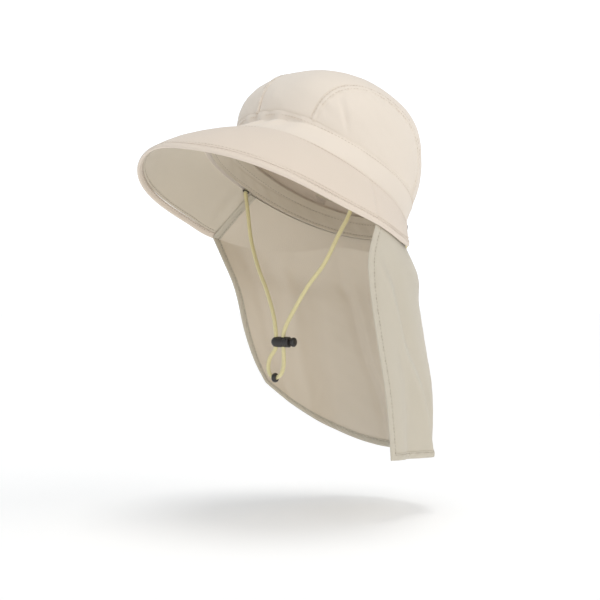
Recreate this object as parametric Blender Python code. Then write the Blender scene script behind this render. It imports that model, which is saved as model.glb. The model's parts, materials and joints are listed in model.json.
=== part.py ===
"""Sun hat: a soft three-panel crown on a band, a downturned brim with tails,
a neck flap and a chin cord with its lock and bead.

World axes: +Z up, the wearer faces -Y, +X is the wearer's left. The origin is the
middle of the head opening. The hat sits pitched back by HAT_TILT about X, so its own
frame, in which the head opening is level, is turned by that much; the flap and the
cord hang plumb. Bearings are degrees round the head opening: 0 at the front, 90 on
the wearer's left, 180 at the back.
"""

import math

import bmesh
import bpy
import numpy as np

# Whole hat
HAT_TILT = 26.5
GAP = 0.0003
PROBE = 0.0005

# Head opening
HEAD_HALF_WIDTH = 0.081
HEAD_FRONT = 0.090
HEAD_BACK = 0.0995
HEAD_FRONT_POWER = 2.4
HEAD_BACK_POWER = 2.0

# Crown. Its foot is narrower and shorter than the head opening.
CLOTH = 0.0014
BAND_HEIGHT = 0.022
CROWN_HEIGHT = 0.0868
CROWN_NARROWING = 0.0049
CROWN_SHORTENING = 0.01145
CROWN_HALF_WIDTH = HEAD_HALF_WIDTH - CROWN_NARROWING
CROWN_HALF_LENGTH = (HEAD_FRONT + HEAD_BACK) / 2 - CROWN_SHORTENING
CROWN_SWELL = 0.0048
CROWN_FRONT_POWER = 2.4
CROWN_BACK_POWER = 2.0
CROWN_SET_BACK = 0.0154
CROWN_TOP_BACK = 0.0154
CROWN_MID_FORWARD = 0.0095
# Where the two seams run, as shares of the crown's half width, from the front of the
# crown (lean 0) over its top (90) to its back (180).
SEAM_COLUMNS = ("lean", "left", "right")
SEAMS = (
    (0.0, 0.67, -0.02),
    (30.0, 0.72, -0.02),
    (75.0, 0.78, -0.46),
    (120.0, 0.80, -0.76),
    (180.0, 0.80, -0.78),
)

# Sweatband and the cord casing behind it
SWEATBAND_CLOTH = 0.0012
SWEATBAND_TOP = 0.0185
SWEATBAND_DROP = 0.0019
CORD = 0.0030
CASING = 0.0042
CHANNEL_HEIGHT = 0.0070
EYELET_BEARING = 86.0
EYELET_HOLE = 0.0021
EYELET_WALL = 0.0012
EYELET_HEIGHT = 0.0012

# Brim and its tails. The table's widths are shares of BRIM_WIDTH, and its slopes are
# degrees below the plane of the head opening.
BRIM_WIDTH = 0.072
BRIM_CLOTH = 0.0022
BRIM_TAIL_END = 150.0
BINDING_WIDTH = 0.0060
BINDING_CLOTH = 0.0028
BRIM_COLUMNS = ("bearing", "width", "slope_at_rim", "slope_at_edge")
BRIM_ROWS = (
    (0.0, 1.000, 29.0, 57.0),
    (25.0, 0.949, 25.0, 70.0),
    (50.0, 0.889, 34.0, 71.0),
    (72.0, 0.806, 45.0, 68.0),
    (90.0, 0.785, 48.0, 58.0),
    (120.0, 0.500, 59.0, 64.0),
    (150.0, 0.167, 66.0, 70.0),
    (180.0, 0.167, 68.0, 72.0),
)

# Neck flap. It leaves the head opening under the brim's ends and tails, and falls from
# its shoulder through these sections, each a half ring that is open to the front. Widths
# are shares of FLAP_HALF_WIDTH, y places of FLAP_DEPTH and z places of FLAP_LENGTH.
FLAP_HALF_WIDTH = 0.099
FLAP_DEPTH = 0.123
FLAP_LENGTH = 0.238
FLAP_CLOTH = 0.0012
FLAP_FRONT_BEARING = 90.0
FLAP_SHOULDER = 0.16
FLAP_SHOULDER_SHARE = 0.97
FLAP_HEM_WIDTH = 0.0065
FLAP_HEM_CLOTH = 0.0024
FLAP_SEAT = 0.0004
FLAP_FALL_POWER = 1.30
FLAP_COLUMNS = (
    "drop",
    "left_width",
    "left_y",
    "right_width",
    "right_y",
    "back_y",
    "left_z",
    "back_z",
    "right_z",
)
FLAP_ROWS = (
    (0.25, 1.000, -0.138, 1.000, -0.138, 0.805, -0.265, -0.345, -0.265),
    (0.36, 0.939, -0.081, 0.944, -0.081, 0.837, -0.357, -0.437, -0.357),
    (0.55, 0.919, 0.000, 0.919, 0.000, 0.886, -0.546, -0.613, -0.521),
    (0.78, 0.808, 0.163, 0.889, 0.081, 0.976, -0.748, -0.798, -0.647),
    (1.00, 0.727, 0.268, 0.828, 0.154, 1.000, -0.975, -1.000, -0.735),
)
# Soft folds of the flap: where across (0 left edge, 1 right edge), half width across,
# depth inwards as a share of FLAP_DEPTH, and the drops between which the fold grows.
FOLD_COLUMNS = ("across", "half_width", "depth", "start", "full")
FLAP_FOLDS = (
    (0.12, 0.050, 0.049, 0.25, 0.60),
    (0.30, 0.060, -0.033, 0.30, 0.70),
    (0.52, 0.050, 0.033, 0.20, 0.45),
    (0.78, 0.060, -0.024, 0.25, 0.60),
)

# Cord locks and bead
LOCK_LENGTH = 0.0180
LOCK_RADIUS = 0.0045
LOCK_HOLE = 0.0020
LOCK_HOLE_SPREAD = 0.0076
LOCK_HOLE_SHIFT = -0.0012
BUTTON_TRAVEL = 0.0025
BUTTON_STEM = 0.0018
BUTTON_INSERT = 0.0010
BUTTON_BORE = 0.0021
BUTTON_BORE_DEPTH = 0.0041
BUTTON_CAP_LENGTH = 0.0034
BUTTON_CAP_RADIUS = 0.0040
CHIN_LOCK_PLACE = (0.0010, -0.0275, -0.1340)
CHIN_LOCK_YAW = 19.0
REAR_LOCK_STANDOFF = 0.0050
REAR_EXIT_HEIGHT = 0.0180
BEAD_ALONG = -0.0058
BEAD_DROP = 0.0304
BEAD_RADIUS = 0.0041
BEAD_LENGTH = 0.0044
BEAD_HOLE = 0.0024

# Cord routes
# A cord has a point for each CORD_STEP of its length and each CORD_TURN degrees of bend.
CORD_STEP = 0.0110
CORD_TURN = 45.0
CORD_END_GAP = 0.0010
# The chin cord's free stretches in the world frame, in millimetres, from an eyelet
# down to the lock, and the loop below the lock, in millimetres along the lock's
# barrel and down from its middle.
LEFT_STRAND = (
    (76.6, -7.2, -7.0),
    (72.9, -8.2, -14.0),
    (68.3, -9.4, -28.5),
    (57.7, -12.2, -46.0),
    (44.1, -15.8, -68.7),
    (28.3, -20.0, -86.8),
    (14.2, -23.8, -107.0),
    (6.4, -25.8, -119.5),
)
RIGHT_STRAND = (
    (-76.4, -7.5, -7.0),
    (-73.4, -8.2, -16.7),
    (-64.2, -10.9, -44.7),
    (-46.4, -16.2, -70.0),
    (-26.1, -22.3, -90.0),
    (-9.6, -27.4, -111.0),
    (-5.0, -28.9, -122.0),
)
CHIN_LOOP = (
    (2.6, 6.0),
    (2.9, 14.0),
    (2.4, 22.0),
    (-0.6, 28.0),
    (-5.8, 30.6),
    (-10.9, 28.0),
    (-12.9, 22.0),
    (-11.2, 14.0),
    (-7.4, 8.6),
    (-5.2, 5.0),
)
# The rear cord's loop, in millimetres in the rear lock's frame: along the barrel, and
# out along the strands from the lock's middle, and up in the world.
REAR_LOOP = (
    (2.6, 0.0, 0.0),
    (2.8, 5.0, 0.0),
    (4.2, 9.0, -2.6),
    (5.6, 10.4, -8.0),
    (4.4, 10.0, -14.0),
    (-1.2, 9.6, -18.0),
    (-6.8, 10.0, -14.0),
    (-8.0, 10.4, -8.0),
    (-6.6, 9.0, -2.6),
    (-5.2, 5.0, 0.0),
    (-5.0, 0.0, 0.0),
)

# Finishes: colour, roughness
CREAM = ((0.80, 0.71, 0.60), 0.85)
SHADED_CREAM = ((0.55, 0.48, 0.38), 0.85)
CORD_YELLOW = ((0.80, 0.66, 0.30), 0.75)
BLACK_PLASTIC = ((0.02, 0.02, 0.02), 0.40)

ROUND = 16
SHARP_ANGLE = 40.0


def curve_through(places, rows, at, level_ends=False):
    """A smooth curve through a table: cubic pieces whose slope at each row is the
    mean of the two steps beside it, or nothing at the ends where level_ends is set."""
    rows = [np.asarray(row, float) for row in rows]
    pairs = list(zip(places, places[1:]))
    steps = [(rows[i + 1] - rows[i]) / (q - p) for i, (p, q) in enumerate(pairs)]
    ends = 0.0 if level_ends else 1.0
    inner = [(before + after) / 2 for before, after in zip(steps, steps[1:])]
    slopes = [ends * steps[0], *inner, ends * steps[-1]]
    total = 0.0
    for i, (p, q) in enumerate(pairs):
        inside = (at >= p if i else True) & (at < q if i + 2 < len(places) else True)
        t = (at - p) / (q - p)
        value = (
            rows[i] * (2 * t**3 - 3 * t**2 + 1)
            + slopes[i] * (q - p) * (t**3 - 2 * t**2 + t)
            + rows[i + 1] * (3 * t**2 - 2 * t**3)
            + slopes[i + 1] * (q - p) * (t**3 - t**2)
        )
        total = total + np.where(inside, value, 0.0)
    return total


def column(rows, names, name):
    """One named column of a table."""
    return [row[names.index(name)] for row in rows]


def ease(value, start, end):
    """0 before start, 1 after end, and a smooth step between them."""
    t = np.clip((value - start) / (end - start), 0.0, 1.0)
    return t * t * (3 - 2 * t)


def vector(x, y, z):
    """Three arrays of coordinates as one array of points."""
    return np.stack(np.broadcast_arrays(x, y, z), axis=-1)


def to_world(points):
    """Turns points from the hat's own frame to the world's, by the tilt about X."""
    turn = math.radians(HAT_TILT)
    x, y, z = np.moveaxis(np.asarray(points, float), -1, 0)
    return vector(
        x,
        y * math.cos(turn) + z * math.sin(turn),
        z * math.cos(turn) - y * math.sin(turn),
    )


def facing_of(surface, u, v):
    """Unit normals of a surface, from its own slope either way at each point."""
    across = surface(u + PROBE, v) - surface(u - PROBE, v)
    along = surface(u, v + PROBE) - surface(u, v - PROBE)
    normal = np.cross(across, along)
    return normal / np.linalg.norm(normal, axis=-1, keepdims=True)


def rim(bearing):
    """The head opening: a superellipse, squarer in front than behind."""
    angle = np.radians(bearing)
    side, ahead = np.sin(angle), np.cos(angle)
    power = np.where(ahead > 0, HEAD_FRONT_POWER, HEAD_BACK_POWER)
    length = np.where(ahead > 0, HEAD_FRONT, HEAD_BACK)
    reach = (np.abs(side) ** power + np.abs(ahead) ** power) ** (-1 / power)
    return vector(HEAD_HALF_WIDTH * side * reach, -length * ahead * reach, 0.0)


def rim_outward(bearing):
    """The level direction square to the head opening."""
    along = rim(bearing + 0.5) - rim(bearing - 0.5)
    outward = vector(along[..., 1], -along[..., 0], 0.0)
    return outward / np.linalg.norm(outward, axis=-1, keepdims=True)


def crown_power(lean):
    """The crown's power eases from front to back with the lean, given in radians."""
    return CROWN_BACK_POWER + (CROWN_FRONT_POWER - CROWN_BACK_POWER) * (1 + np.cos(lean)) / 2


def crown(x, y, z):
    """The crown where a direction from its middle meets it: a superellipsoid, swollen
    at half height and leant backwards."""
    power = crown_power(np.arctan2(z, -y))
    reach = (np.abs(x) ** power + np.abs(y) ** power + np.abs(z) ** power) ** (-1 / power)
    x, y, height = x * reach, y * reach, z * reach
    bulge = np.sin(math.pi * height)
    back = CROWN_SET_BACK + CROWN_TOP_BACK * height - CROWN_MID_FORWARD * bulge
    return vector(
        (CROWN_HALF_WIDTH + CROWN_SWELL * bulge) * x,
        (CROWN_HALF_LENGTH + CROWN_SWELL * bulge) * y + back,
        BAND_HEIGHT + CROWN_HEIGHT * height,
    )


def crown_arch(share, lean):
    """The direction of the crown's point at a share of its half width and a lean."""
    angle = np.radians(lean)
    power = crown_power(angle)
    reach = (1 - np.abs(share) ** power) ** (1 / power)
    ahead, up = np.cos(angle), np.sin(angle)
    size = reach * (np.abs(ahead) ** power + np.abs(up) ** power) ** (-1 / power)
    return share, -size * ahead, size * up


def seam_share(side, lean):
    """How far out a seam lies at a lean, as a share of the crown's half width."""
    leans = column(SEAMS, SEAM_COLUMNS, "lean")
    shares = column(SEAMS, SEAM_COLUMNS, "left" if side > 0 else "right")
    return curve_through(leans, shares, lean)


def centre_panel(across, lean):
    """The centre panel: across from its right seam to its left one, lean over the top."""
    right, left = seam_share(-1, lean), seam_share(1, lean)
    inset = GAP / CROWN_HALF_WIDTH / 2
    share = right + inset + across * (left - right - 2 * inset)
    return to_world(crown(*crown_arch(share, lean)))


def side_panel(side):
    """A side panel: lean from its front tip to its back tip, up from band to seam."""

    def foot_bearing(lean):
        x, y, _ = crown_arch(seam_share(side, lean), lean)
        return np.arctan2(side * x, -y)

    def surface(lean, up):
        share = seam_share(side, lean) + side * GAP / CROWN_HALF_WIDTH / 2
        seam = crown_arch(share, lean)
        front, back = foot_bearing(np.array(0.0)), foot_bearing(np.array(180.0))
        angle = front + (back - front) * lean / 180.0
        foot = (side * np.sin(angle), -np.cos(angle), GAP / CROWN_HEIGHT)
        return to_world(crown(*(low * (1 - up) + high * up for low, high in zip(foot, seam))))

    return surface


def band(bearing, up):
    """The band: straight from the head opening to the foot of the crown."""
    angle = np.radians(bearing)
    foot = crown(np.sin(angle), -np.cos(angle), 0 * angle)
    up = np.asarray(up)[..., None]
    return to_world(rim(bearing) * (1 - up) + foot * up)


def inside_band(inset):
    """A surface that follows the band, moved in from it by a level inset."""

    def surface(bearing, up):
        return band(bearing, up) - to_world(rim_outward(bearing)) * inset

    return surface


def channel(bearing, height):
    """The middle of the cord casing, at a height above the head opening."""
    place = inside_band(CLOTH + CASING / 2)
    return place(np.asarray(float(bearing)), np.asarray(height / BAND_HEIGHT))


def eyelet_place(side, height):
    """A point on an eyelet's axis, which stands square to the head opening."""
    bearing = side * EYELET_BEARING
    local = rim(bearing) - rim_outward(bearing) * (CLOTH + CASING / 2)
    return to_world(local + np.array([0.0, 0.0, height]))


def brim(bearing, share):
    """The brim: it leaves the head opening outwards and turns down along an arc, whose
    width and slopes are read from the brim's table at this bearing."""
    around = np.abs((bearing + 180.0) % 360.0 - 180.0)
    places = column(BRIM_ROWS, BRIM_COLUMNS, "bearing")
    width, first, last = (
        curve_through(places, column(BRIM_ROWS, BRIM_COLUMNS, name), around, level_ends=True)
        for name in BRIM_COLUMNS[1:]
    )
    first, last = np.radians(first), np.radians(last)
    slope = first + (last - first) * share
    radius = BRIM_WIDTH * width / (last - first)
    out = radius * (np.sin(slope) - np.sin(first)) + GAP
    down = radius * (np.cos(first) - np.cos(slope))
    local = rim(bearing) + rim_outward(bearing) * out[..., None]
    return to_world(local - vector(0.0, 0.0, down))


def binding_share(bearing):
    """The share of the brim's width that lies inside its binding."""
    width = np.linalg.norm(brim(bearing, 1.0 + PROBE) - brim(bearing, 1.0 - PROBE), axis=-1)
    return 1 - BINDING_WIDTH * 2 * PROBE / width


def brim_body(bearing, part):
    """The brim from the head opening to its binding."""
    return brim(bearing, part * binding_share(bearing))


def brim_strip(bearing, part):
    """The brim's binding, just past the brim's own edge."""
    start = binding_share(bearing)
    start = start + (1 - start) * GAP / BINDING_WIDTH
    return brim(bearing, start + part * (1 - start))


def under_brim(across, share):
    """The flap's own place under the brim and its tails, clear of binding and hem."""
    bearing = FLAP_FRONT_BEARING + across * (360.0 - 2 * FLAP_FRONT_BEARING)
    drop = BINDING_CLOTH / 2 + FLAP_HEM_CLOTH / 2 + FLAP_SEAT
    return brim(bearing, share) + facing_of(brim, bearing, share) * drop


def flap_section(row, across):
    """One section of the flap: a half ring from the left edge round the back."""
    value = dict(zip(FLAP_COLUMNS, row))
    angle = math.pi * across
    behind = np.sin(angle)
    left = angle < math.pi / 2
    width = np.where(left, value["left_width"], value["right_width"])
    edge_y = np.where(left, value["left_y"], value["right_y"])
    edge_z = np.where(left, value["left_z"], value["right_z"])
    drop = np.where(left, behind, 1 - (1 - behind) ** FLAP_FALL_POWER)
    return vector(
        FLAP_HALF_WIDTH * width * np.cos(angle),
        FLAP_DEPTH * (edge_y + (value["back_y"] - edge_y) * behind),
        FLAP_LENGTH * (edge_z + (value["back_z"] - edge_z) * drop),
    )


def flap(across, drop):
    """The flap: under the brim down to its shoulder, then through its sections, with
    its folds pressed in towards the neck."""
    share = np.clip(drop / FLAP_SHOULDER, -0.1, 1.0) * FLAP_SHOULDER_SHARE
    upper = under_brim(across, share)
    shoulder = under_brim(across, np.full_like(across, FLAP_SHOULDER_SHARE))
    levels = [shoulder] + [flap_section(row, across) for row in FLAP_ROWS]
    places = [FLAP_SHOULDER] + column(FLAP_ROWS, FLAP_COLUMNS, "drop")
    lower = curve_through(places, levels, np.asarray(drop)[..., None])
    cloth = np.where((drop < FLAP_SHOULDER)[..., None], upper, lower)
    angle = math.pi * across
    inward = vector(-np.cos(angle), -np.sin(angle), 0.0)
    depth = 0.0
    for place, half_width, deep, start, full in FLAP_FOLDS:
        bump = np.exp(-(((across - place) / half_width) ** 2)) * ease(drop, start, full)
        depth = depth + FLAP_DEPTH * deep * bump
    return cloth + inward * np.asarray(depth)[..., None]


def hem_shares(across, drop):
    """How much of the flap the hem's width takes at an edge, across and down."""
    step = np.linalg.norm(flap(across + PROBE, drop) - flap(across - PROBE, drop), axis=-1)
    fall = np.linalg.norm(flap(across, drop + PROBE) - flap(across, drop - PROBE), axis=-1)
    return FLAP_HEM_WIDTH * 2 * PROBE / step, FLAP_HEM_WIDTH * 2 * PROBE / fall


def inside_hem(inner):
    """The flap within a frame that leaves a share of the hem's width all round."""

    def surface(across, drop):
        left = hem_shares(np.zeros_like(across), drop)[0] * inner
        right = hem_shares(np.ones_like(across), drop)[0] * inner
        bottom = hem_shares(across, np.ones_like(drop))[1] * inner
        return flap(left + across * (1 - left - right), drop * (1 - bottom))

    return surface


def hem_strip(along, inner):
    """The flap's hem: along the left edge (0 to 1), the bottom (1 to 2) and the right
    edge (2 to 3), inner from 0 at the free edge to 1 at the flap's own cloth."""
    inner = inner * (1 - GAP / FLAP_HEM_WIDTH)
    across = np.clip(along - 1, 0.0, 1.0)
    drop = np.where(along < 1, along, np.where(along > 2, 3 - along, 1.0))
    left = hem_shares(np.zeros_like(along), drop)[0] * inner
    right = hem_shares(np.ones_like(along), drop)[0] * inner
    bottom = hem_shares(across, np.ones_like(along))[1] * inner
    return flap(left + across * (1 - left - right), drop * (1 - bottom))


def material(name, finish):
    """A Principled material of one colour and roughness."""
    colour, roughness = finish
    made = bpy.data.materials.new(name)
    made.use_nodes = True
    shader = made.node_tree.nodes["Principled BSDF"]
    shader.inputs["Base Color"].default_value = (*colour, 1.0)
    shader.inputs["Roughness"].default_value = roughness
    shader.inputs["Metallic"].default_value = 0.0
    return made


def new_object(name, points, faces, finish):
    """A mesh object with its faces turned outwards and its round sides smooth."""
    mesh = bpy.data.meshes.new(name)
    mesh.from_pydata(points.reshape(-1, 3).tolist(), [], faces)
    work = bmesh.new()
    work.from_mesh(mesh)
    bmesh.ops.recalc_face_normals(work, faces=work.faces)
    work.to_mesh(mesh)
    work.free()
    mesh.shade_smooth()
    mesh.set_sharp_from_angle(angle=math.radians(SHARP_ANGLE))
    mesh.materials.append(material(name, finish))
    made = bpy.data.objects.new(name, mesh)
    bpy.context.scene.collection.objects.link(made)
    return made


def quads(index):
    """The faces between neighbouring rows and columns of a grid of point numbers."""
    corners = (index[:-1, :-1], index[:-1, 1:], index[1:, 1:], index[1:, :-1])
    return np.stack(corners, axis=-1).reshape(-1, 4)


def sheet(name, surface, us, vs, sides, finish, closed=False):
    """A cloth wall: the surface over a grid, moved along its normals to both sides,
    the two skins joined along their edges. closed joins the last column to the first."""
    u, v = np.meshgrid(np.asarray(us, float), np.asarray(vs, float))
    middle, normal = surface(u, v), facing_of(surface, u, v)
    skins = [middle + normal * side for side in sides]
    index = np.arange(u.size).reshape(u.shape)
    if closed:
        index = np.concatenate([index, index[:, :1]], axis=1)
    outer, inner = index, index + u.size
    faces = [quads(outer), quads(inner)]
    for edge in (0, -1):
        faces.append(quads(np.stack([outer[edge], inner[edge]])))
        if not closed:
            faces.append(quads(np.stack([outer[:, edge], inner[:, edge]])))
    return new_object(name, np.stack(skins), np.concatenate(faces).tolist(), finish)


def turned(name, profile, finish, sides=ROUND):
    """A shape turned about the X axis from a profile of (place along X, radius). A
    radius of nothing at an end closes it with a point; without one the profile is a ring."""
    ring = profile[0][1] > 0
    places = [(x, r) for x, r in profile if r > 0]
    angles = np.arange(sides) * 2 * math.pi / sides
    x = np.array([place[0] for place in places])[:, None]
    r = np.array([place[1] for place in places])[:, None]
    points = vector(x + 0 * angles, r * np.cos(angles), r * np.sin(angles)).reshape(-1, 3)
    index = np.arange(len(points)).reshape(len(places), sides)
    index = np.concatenate([index, index[:, :1]], axis=1)
    if ring:
        index = np.concatenate([index, index[:1]])
        return new_object(name, points, quads(index).tolist(), finish)
    faces = quads(index).tolist()
    for place, row in ((profile[0], index[0]), (profile[-1], index[-1])):
        points = np.concatenate([points, [(place[0], 0.0, 0.0)]])
        faces += [(len(points) - 1, a, b) for a, b in zip(row[:-1].tolist(), row[1:].tolist())]
    return new_object(name, points, faces, finish)


def drill(target, name, radius, length, place, direction):
    """Cuts a round hole through target with a Boolean whose cutter stays out of sight."""
    cutter = turned(
        name,
        [(-length / 2, 0.0), (-length / 2, radius), (length / 2, radius), (length / 2, 0.0)],
        BLACK_PLASTIC,
        sides=12,
    )
    axis = np.asarray(direction, float)
    yaw, pitch = math.atan2(axis[1], axis[0]), math.asin(-axis[2] / np.linalg.norm(axis))
    cutter.location = place
    cutter.rotation_euler = (0.0, pitch, yaw)
    cutter.hide_render = True
    cutter.display_type = "WIRE"
    cut = target.modifiers.new(name, "BOOLEAN")
    cut.operation = "DIFFERENCE"
    cut.object = cutter


def smooth_route(points):
    """The points of a cord along a smooth curve through its route, closer in bends."""
    route = np.asarray(points, float)
    gaps = np.sqrt(np.linalg.norm(np.diff(route, axis=0), axis=1))
    places = np.concatenate([[0.0], np.cumsum(gaps)])
    fine = np.linspace(0.0, places[-1], 3000)
    line = curve_through(places.tolist(), list(route), fine[:, None])
    steps = np.diff(line, axis=0)
    lengths = np.linalg.norm(steps, axis=1)
    headings = steps / lengths[:, None]
    cosines = np.clip(np.sum(headings[1:] * headings[:-1], axis=1), -1.0, 1.0)
    bends = np.append(0.0, np.degrees(np.arccos(cosines)))
    effort = np.append(0.0, np.cumsum(lengths / CORD_STEP + bends / CORD_TURN))
    stops = np.linspace(0.0, effort[-1], round(effort[-1]) + 1)
    return np.stack([np.interp(stops, effort, line[:, axis]) for axis in range(3)], axis=1)


def cord_tube(name, points):
    """A cord as a round tube along a straight-edged curve, with filled ends."""
    curve = bpy.data.curves.new(name, "CURVE")
    curve.dimensions = "3D"
    curve.bevel_depth = CORD / 2
    curve.bevel_resolution = 2
    curve.use_fill_caps = True
    spline = curve.splines.new("POLY")
    spline.points.add(len(points) - 1)
    spline.points.foreach_set("co", np.append(points, np.ones((len(points), 1)), axis=1).ravel())
    curve.materials.append(material(name, CORD_YELLOW))
    made = bpy.data.objects.new(name, curve)
    bpy.context.scene.collection.objects.link(made)


def lock_axes(turn):
    """A lock's barrel and strand directions, for one of the two ways a lock is turned."""
    if turn == "chin":
        yaw = math.radians(CHIN_LOCK_YAW)
        return np.array([math.cos(yaw), math.sin(yaw), 0.0]), np.array([0.0, 0.0, 1.0])
    return np.array([1.0, 0.0, 0.0]), to_world(np.array([0.0, 1.0, 0.0]))


def rear_exit(along, out):
    """A point on a strand of the rear cord: along X, and out from the band's outside."""
    back = band(np.array(180.0), np.array(REAR_EXIT_HEIGHT / BAND_HEIGHT))
    return back + np.array([along, 0.0, 0.0]) + lock_axes("rear")[1] * out


def lock_holes():
    """Where a lock's two strands pass, along its barrel."""
    return LOCK_HOLE_SHIFT - LOCK_HOLE_SPREAD / 2, LOCK_HOLE_SHIFT + LOCK_HOLE_SPREAD / 2


def cord_lock(name, place, turn):
    """A barrel lock with two strand holes and a bore, and its button beside it."""
    end = LOCK_LENGTH / 2
    round_end = [
        (-end + LOCK_RADIUS * (1 - math.cos(a)), LOCK_RADIUS * math.sin(a))
        for a in (math.radians(step) for step in (0, 30, 60, 90))
    ]
    bore_end = end - BUTTON_BORE_DEPTH
    body = turned(
        name,
        [
            *round_end,
            (end - 0.0006, LOCK_RADIUS),
            (end, LOCK_RADIUS - 0.0006),
            (end, BUTTON_BORE),
            (bore_end, BUTTON_BORE),
            (bore_end, 0.0),
        ],
        BLACK_PLASTIC,
    )
    barrel, strands = lock_axes(turn)
    for number, along in enumerate(lock_holes()):
        middle = np.asarray(place) + barrel * along
        drill(body, f"{name}_cutter_{number}", LOCK_HOLE, 4 * LOCK_RADIUS, middle, strands)
    cap = end + BUTTON_TRAVEL + GAP
    button = turned(
        f"{name}_button",
        [
            (end - BUTTON_INSERT, 0.0),
            (end - BUTTON_INSERT, BUTTON_STEM),
            (cap, BUTTON_STEM),
            (cap, BUTTON_CAP_RADIUS),
            (cap + BUTTON_CAP_LENGTH * 0.5, BUTTON_CAP_RADIUS * 0.94),
            (cap + BUTTON_CAP_LENGTH * 0.9, BUTTON_CAP_RADIUS * 0.55),
            (cap + BUTTON_CAP_LENGTH, 0.0),
        ],
        BLACK_PLASTIC,
    )
    for piece in (body, button):
        piece.location = place
        piece.rotation_euler = (0.0, 0.0, math.atan2(barrel[1], barrel[0]))


def chin_frame(along, down):
    """A point in the chin lock's frame: along its barrel and down from its middle."""
    barrel, up = lock_axes("chin")
    return np.asarray(CHIN_LOCK_PLACE) + barrel * along - up * down


def chin_route():
    """The chin cord: from the back of the casing round the left to its eyelet, down to
    the lock, round the loop, and back the same way on the right."""
    start = 180.0 - math.degrees(CORD_END_GAP / HEAD_HALF_WIDTH)
    bend = ((94.0, 0.0070), (90.0, 0.0066), (88.0, 0.0045), (87.0, 0.0018), (87.0, -0.0008))
    bearings = [start, *range(170, 99, -10)]
    casing = [(bearing, CHANNEL_HEIGHT) for bearing in bearings] + list(bend)
    left = [channel(bearing, height) for bearing, height in casing]
    left += [eyelet_place(1, -0.0024), eyelet_place(1, -0.0044)]
    right = [eyelet_place(-1, -0.0044), eyelet_place(-1, -0.0024)]
    right += [channel(-bearing, height) for bearing, height in reversed(casing)]
    loop = [chin_frame(along / 1000, down / 1000) for along, down in CHIN_LOOP]
    left += [np.array(point) / 1000 for point in LEFT_STRAND]
    right = [np.array(point) / 1000 for point in reversed(RIGHT_STRAND)] + right
    holes = lock_holes()
    into = [chin_frame(holes[1], height) for height in (-0.0065, 0.0)]
    out_of = [chin_frame(holes[0], height) for height in (0.0, -0.0065)]
    return left + into + loop + out_of + right


def rear_route():
    """The rear cord: out of the band, through the rear lock, round its loop and back."""
    barrel, out = lock_axes("rear")
    middle = rear_exit(0.0, REAR_LOCK_STANDOFF + LOCK_RADIUS)
    holes = lock_holes()
    inside = -CLOTH - 0.0010
    loop = [
        middle + barrel * along / 1000 + out * away / 1000 + np.array([0.0, 0.0, up / 1000])
        for along, away, up in REAR_LOOP
    ]
    first = [rear_exit(holes[1], inside), rear_exit(holes[1], REAR_LOCK_STANDOFF / 2)]
    last = [rear_exit(holes[0], REAR_LOCK_STANDOFF / 2), rear_exit(holes[0], inside)]
    return first + loop + last


def make_crown():
    leans = np.linspace(0.0, 180.0, 25)
    tip = 1.6
    inner = np.concatenate([[tip], leans[1:-1], [180.0 - tip]])
    wall = (0.0, -CLOTH)
    foot = math.degrees(GAP / CROWN_HEIGHT)
    over = np.concatenate([[foot], leans[1:-1], [180.0 - foot]])
    sheet("crown_centre_panel", centre_panel, np.linspace(0, 1, 8), over, wall, CREAM)
    rise = np.linspace(0, 1, 7)
    sheet("crown_side_left", side_panel(1), inner, rise, wall, CREAM)
    sheet("crown_side_right", side_panel(-1), inner, rise, (0.0, CLOTH), CREAM)
    round_band = np.arange(0.0, 360.0, 6.0)
    foot_gap = GAP / BAND_HEIGHT
    heights = (foot_gap, 0.5, 1 - foot_gap / 2)
    strip = sheet("crown_band", band, round_band, heights, wall, CREAM, closed=True)
    for number, along in enumerate(lock_holes()):
        middle = rear_exit(along, -CLOTH / 2)
        direction = lock_axes("rear")[1]
        drill(strip, f"band_cutter_{number}", LOCK_HOLE, 6 * CLOTH, middle, direction)


def make_sweatband():
    bearings = np.arange(0.0, 360.0, 9.0)
    ups = np.linspace(-SWEATBAND_DROP, SWEATBAND_TOP, 3) / BAND_HEIGHT
    surface = inside_band(CLOTH + CASING + SWEATBAND_CLOTH / 2)
    half = SWEATBAND_CLOTH / 2
    sheet("sweatband", surface, bearings, ups, (half, -half), SHADED_CREAM, closed=True)


def make_eyelets():
    inner, outer = EYELET_HOLE, EYELET_HOLE + EYELET_WALL
    for name, side in (("eyelet_left", 1), ("eyelet_right", -1)):
        half = EYELET_HEIGHT / 2
        profile = [(-half, inner), (-half, outer), (half, outer), (half, inner)]
        ring = turned(name, profile, BLACK_PLASTIC)
        ring.location = eyelet_place(side, -(SWEATBAND_DROP + 2 * GAP + half))
        ring.rotation_mode = "ZYX"
        ring.rotation_euler = (math.radians(-HAT_TILT), math.radians(90.0), 0.0)


def make_brim():
    bearings = np.linspace(-BRIM_TAIL_END, BRIM_TAIL_END, 55)
    half = BRIM_CLOTH / 2
    sheet("brim", brim_body, bearings, np.linspace(0, 1, 6), (-half, half), CREAM)
    half = BINDING_CLOTH / 2
    sheet("brim_binding", brim_strip, bearings, (0.0, 1.0), (-half, half), CREAM)


def make_flap():
    half = FLAP_CLOTH / 2
    drops = np.concatenate([np.linspace(0, FLAP_SHOULDER, 4), np.linspace(FLAP_SHOULDER, 1, 13)[1:]])
    across = np.linspace(0, 1, 31)
    sheet("neck_flap", inside_hem(1.0), across, drops, (-half, half), SHADED_CREAM)
    half = FLAP_HEM_CLOTH / 2
    along = np.concatenate([drops, 1 + across[1:], 3 - drops[-2::-1]])
    sheet("flap_hem", hem_strip, along, (0.0, 1.0), (-half, half), SHADED_CREAM)


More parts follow.
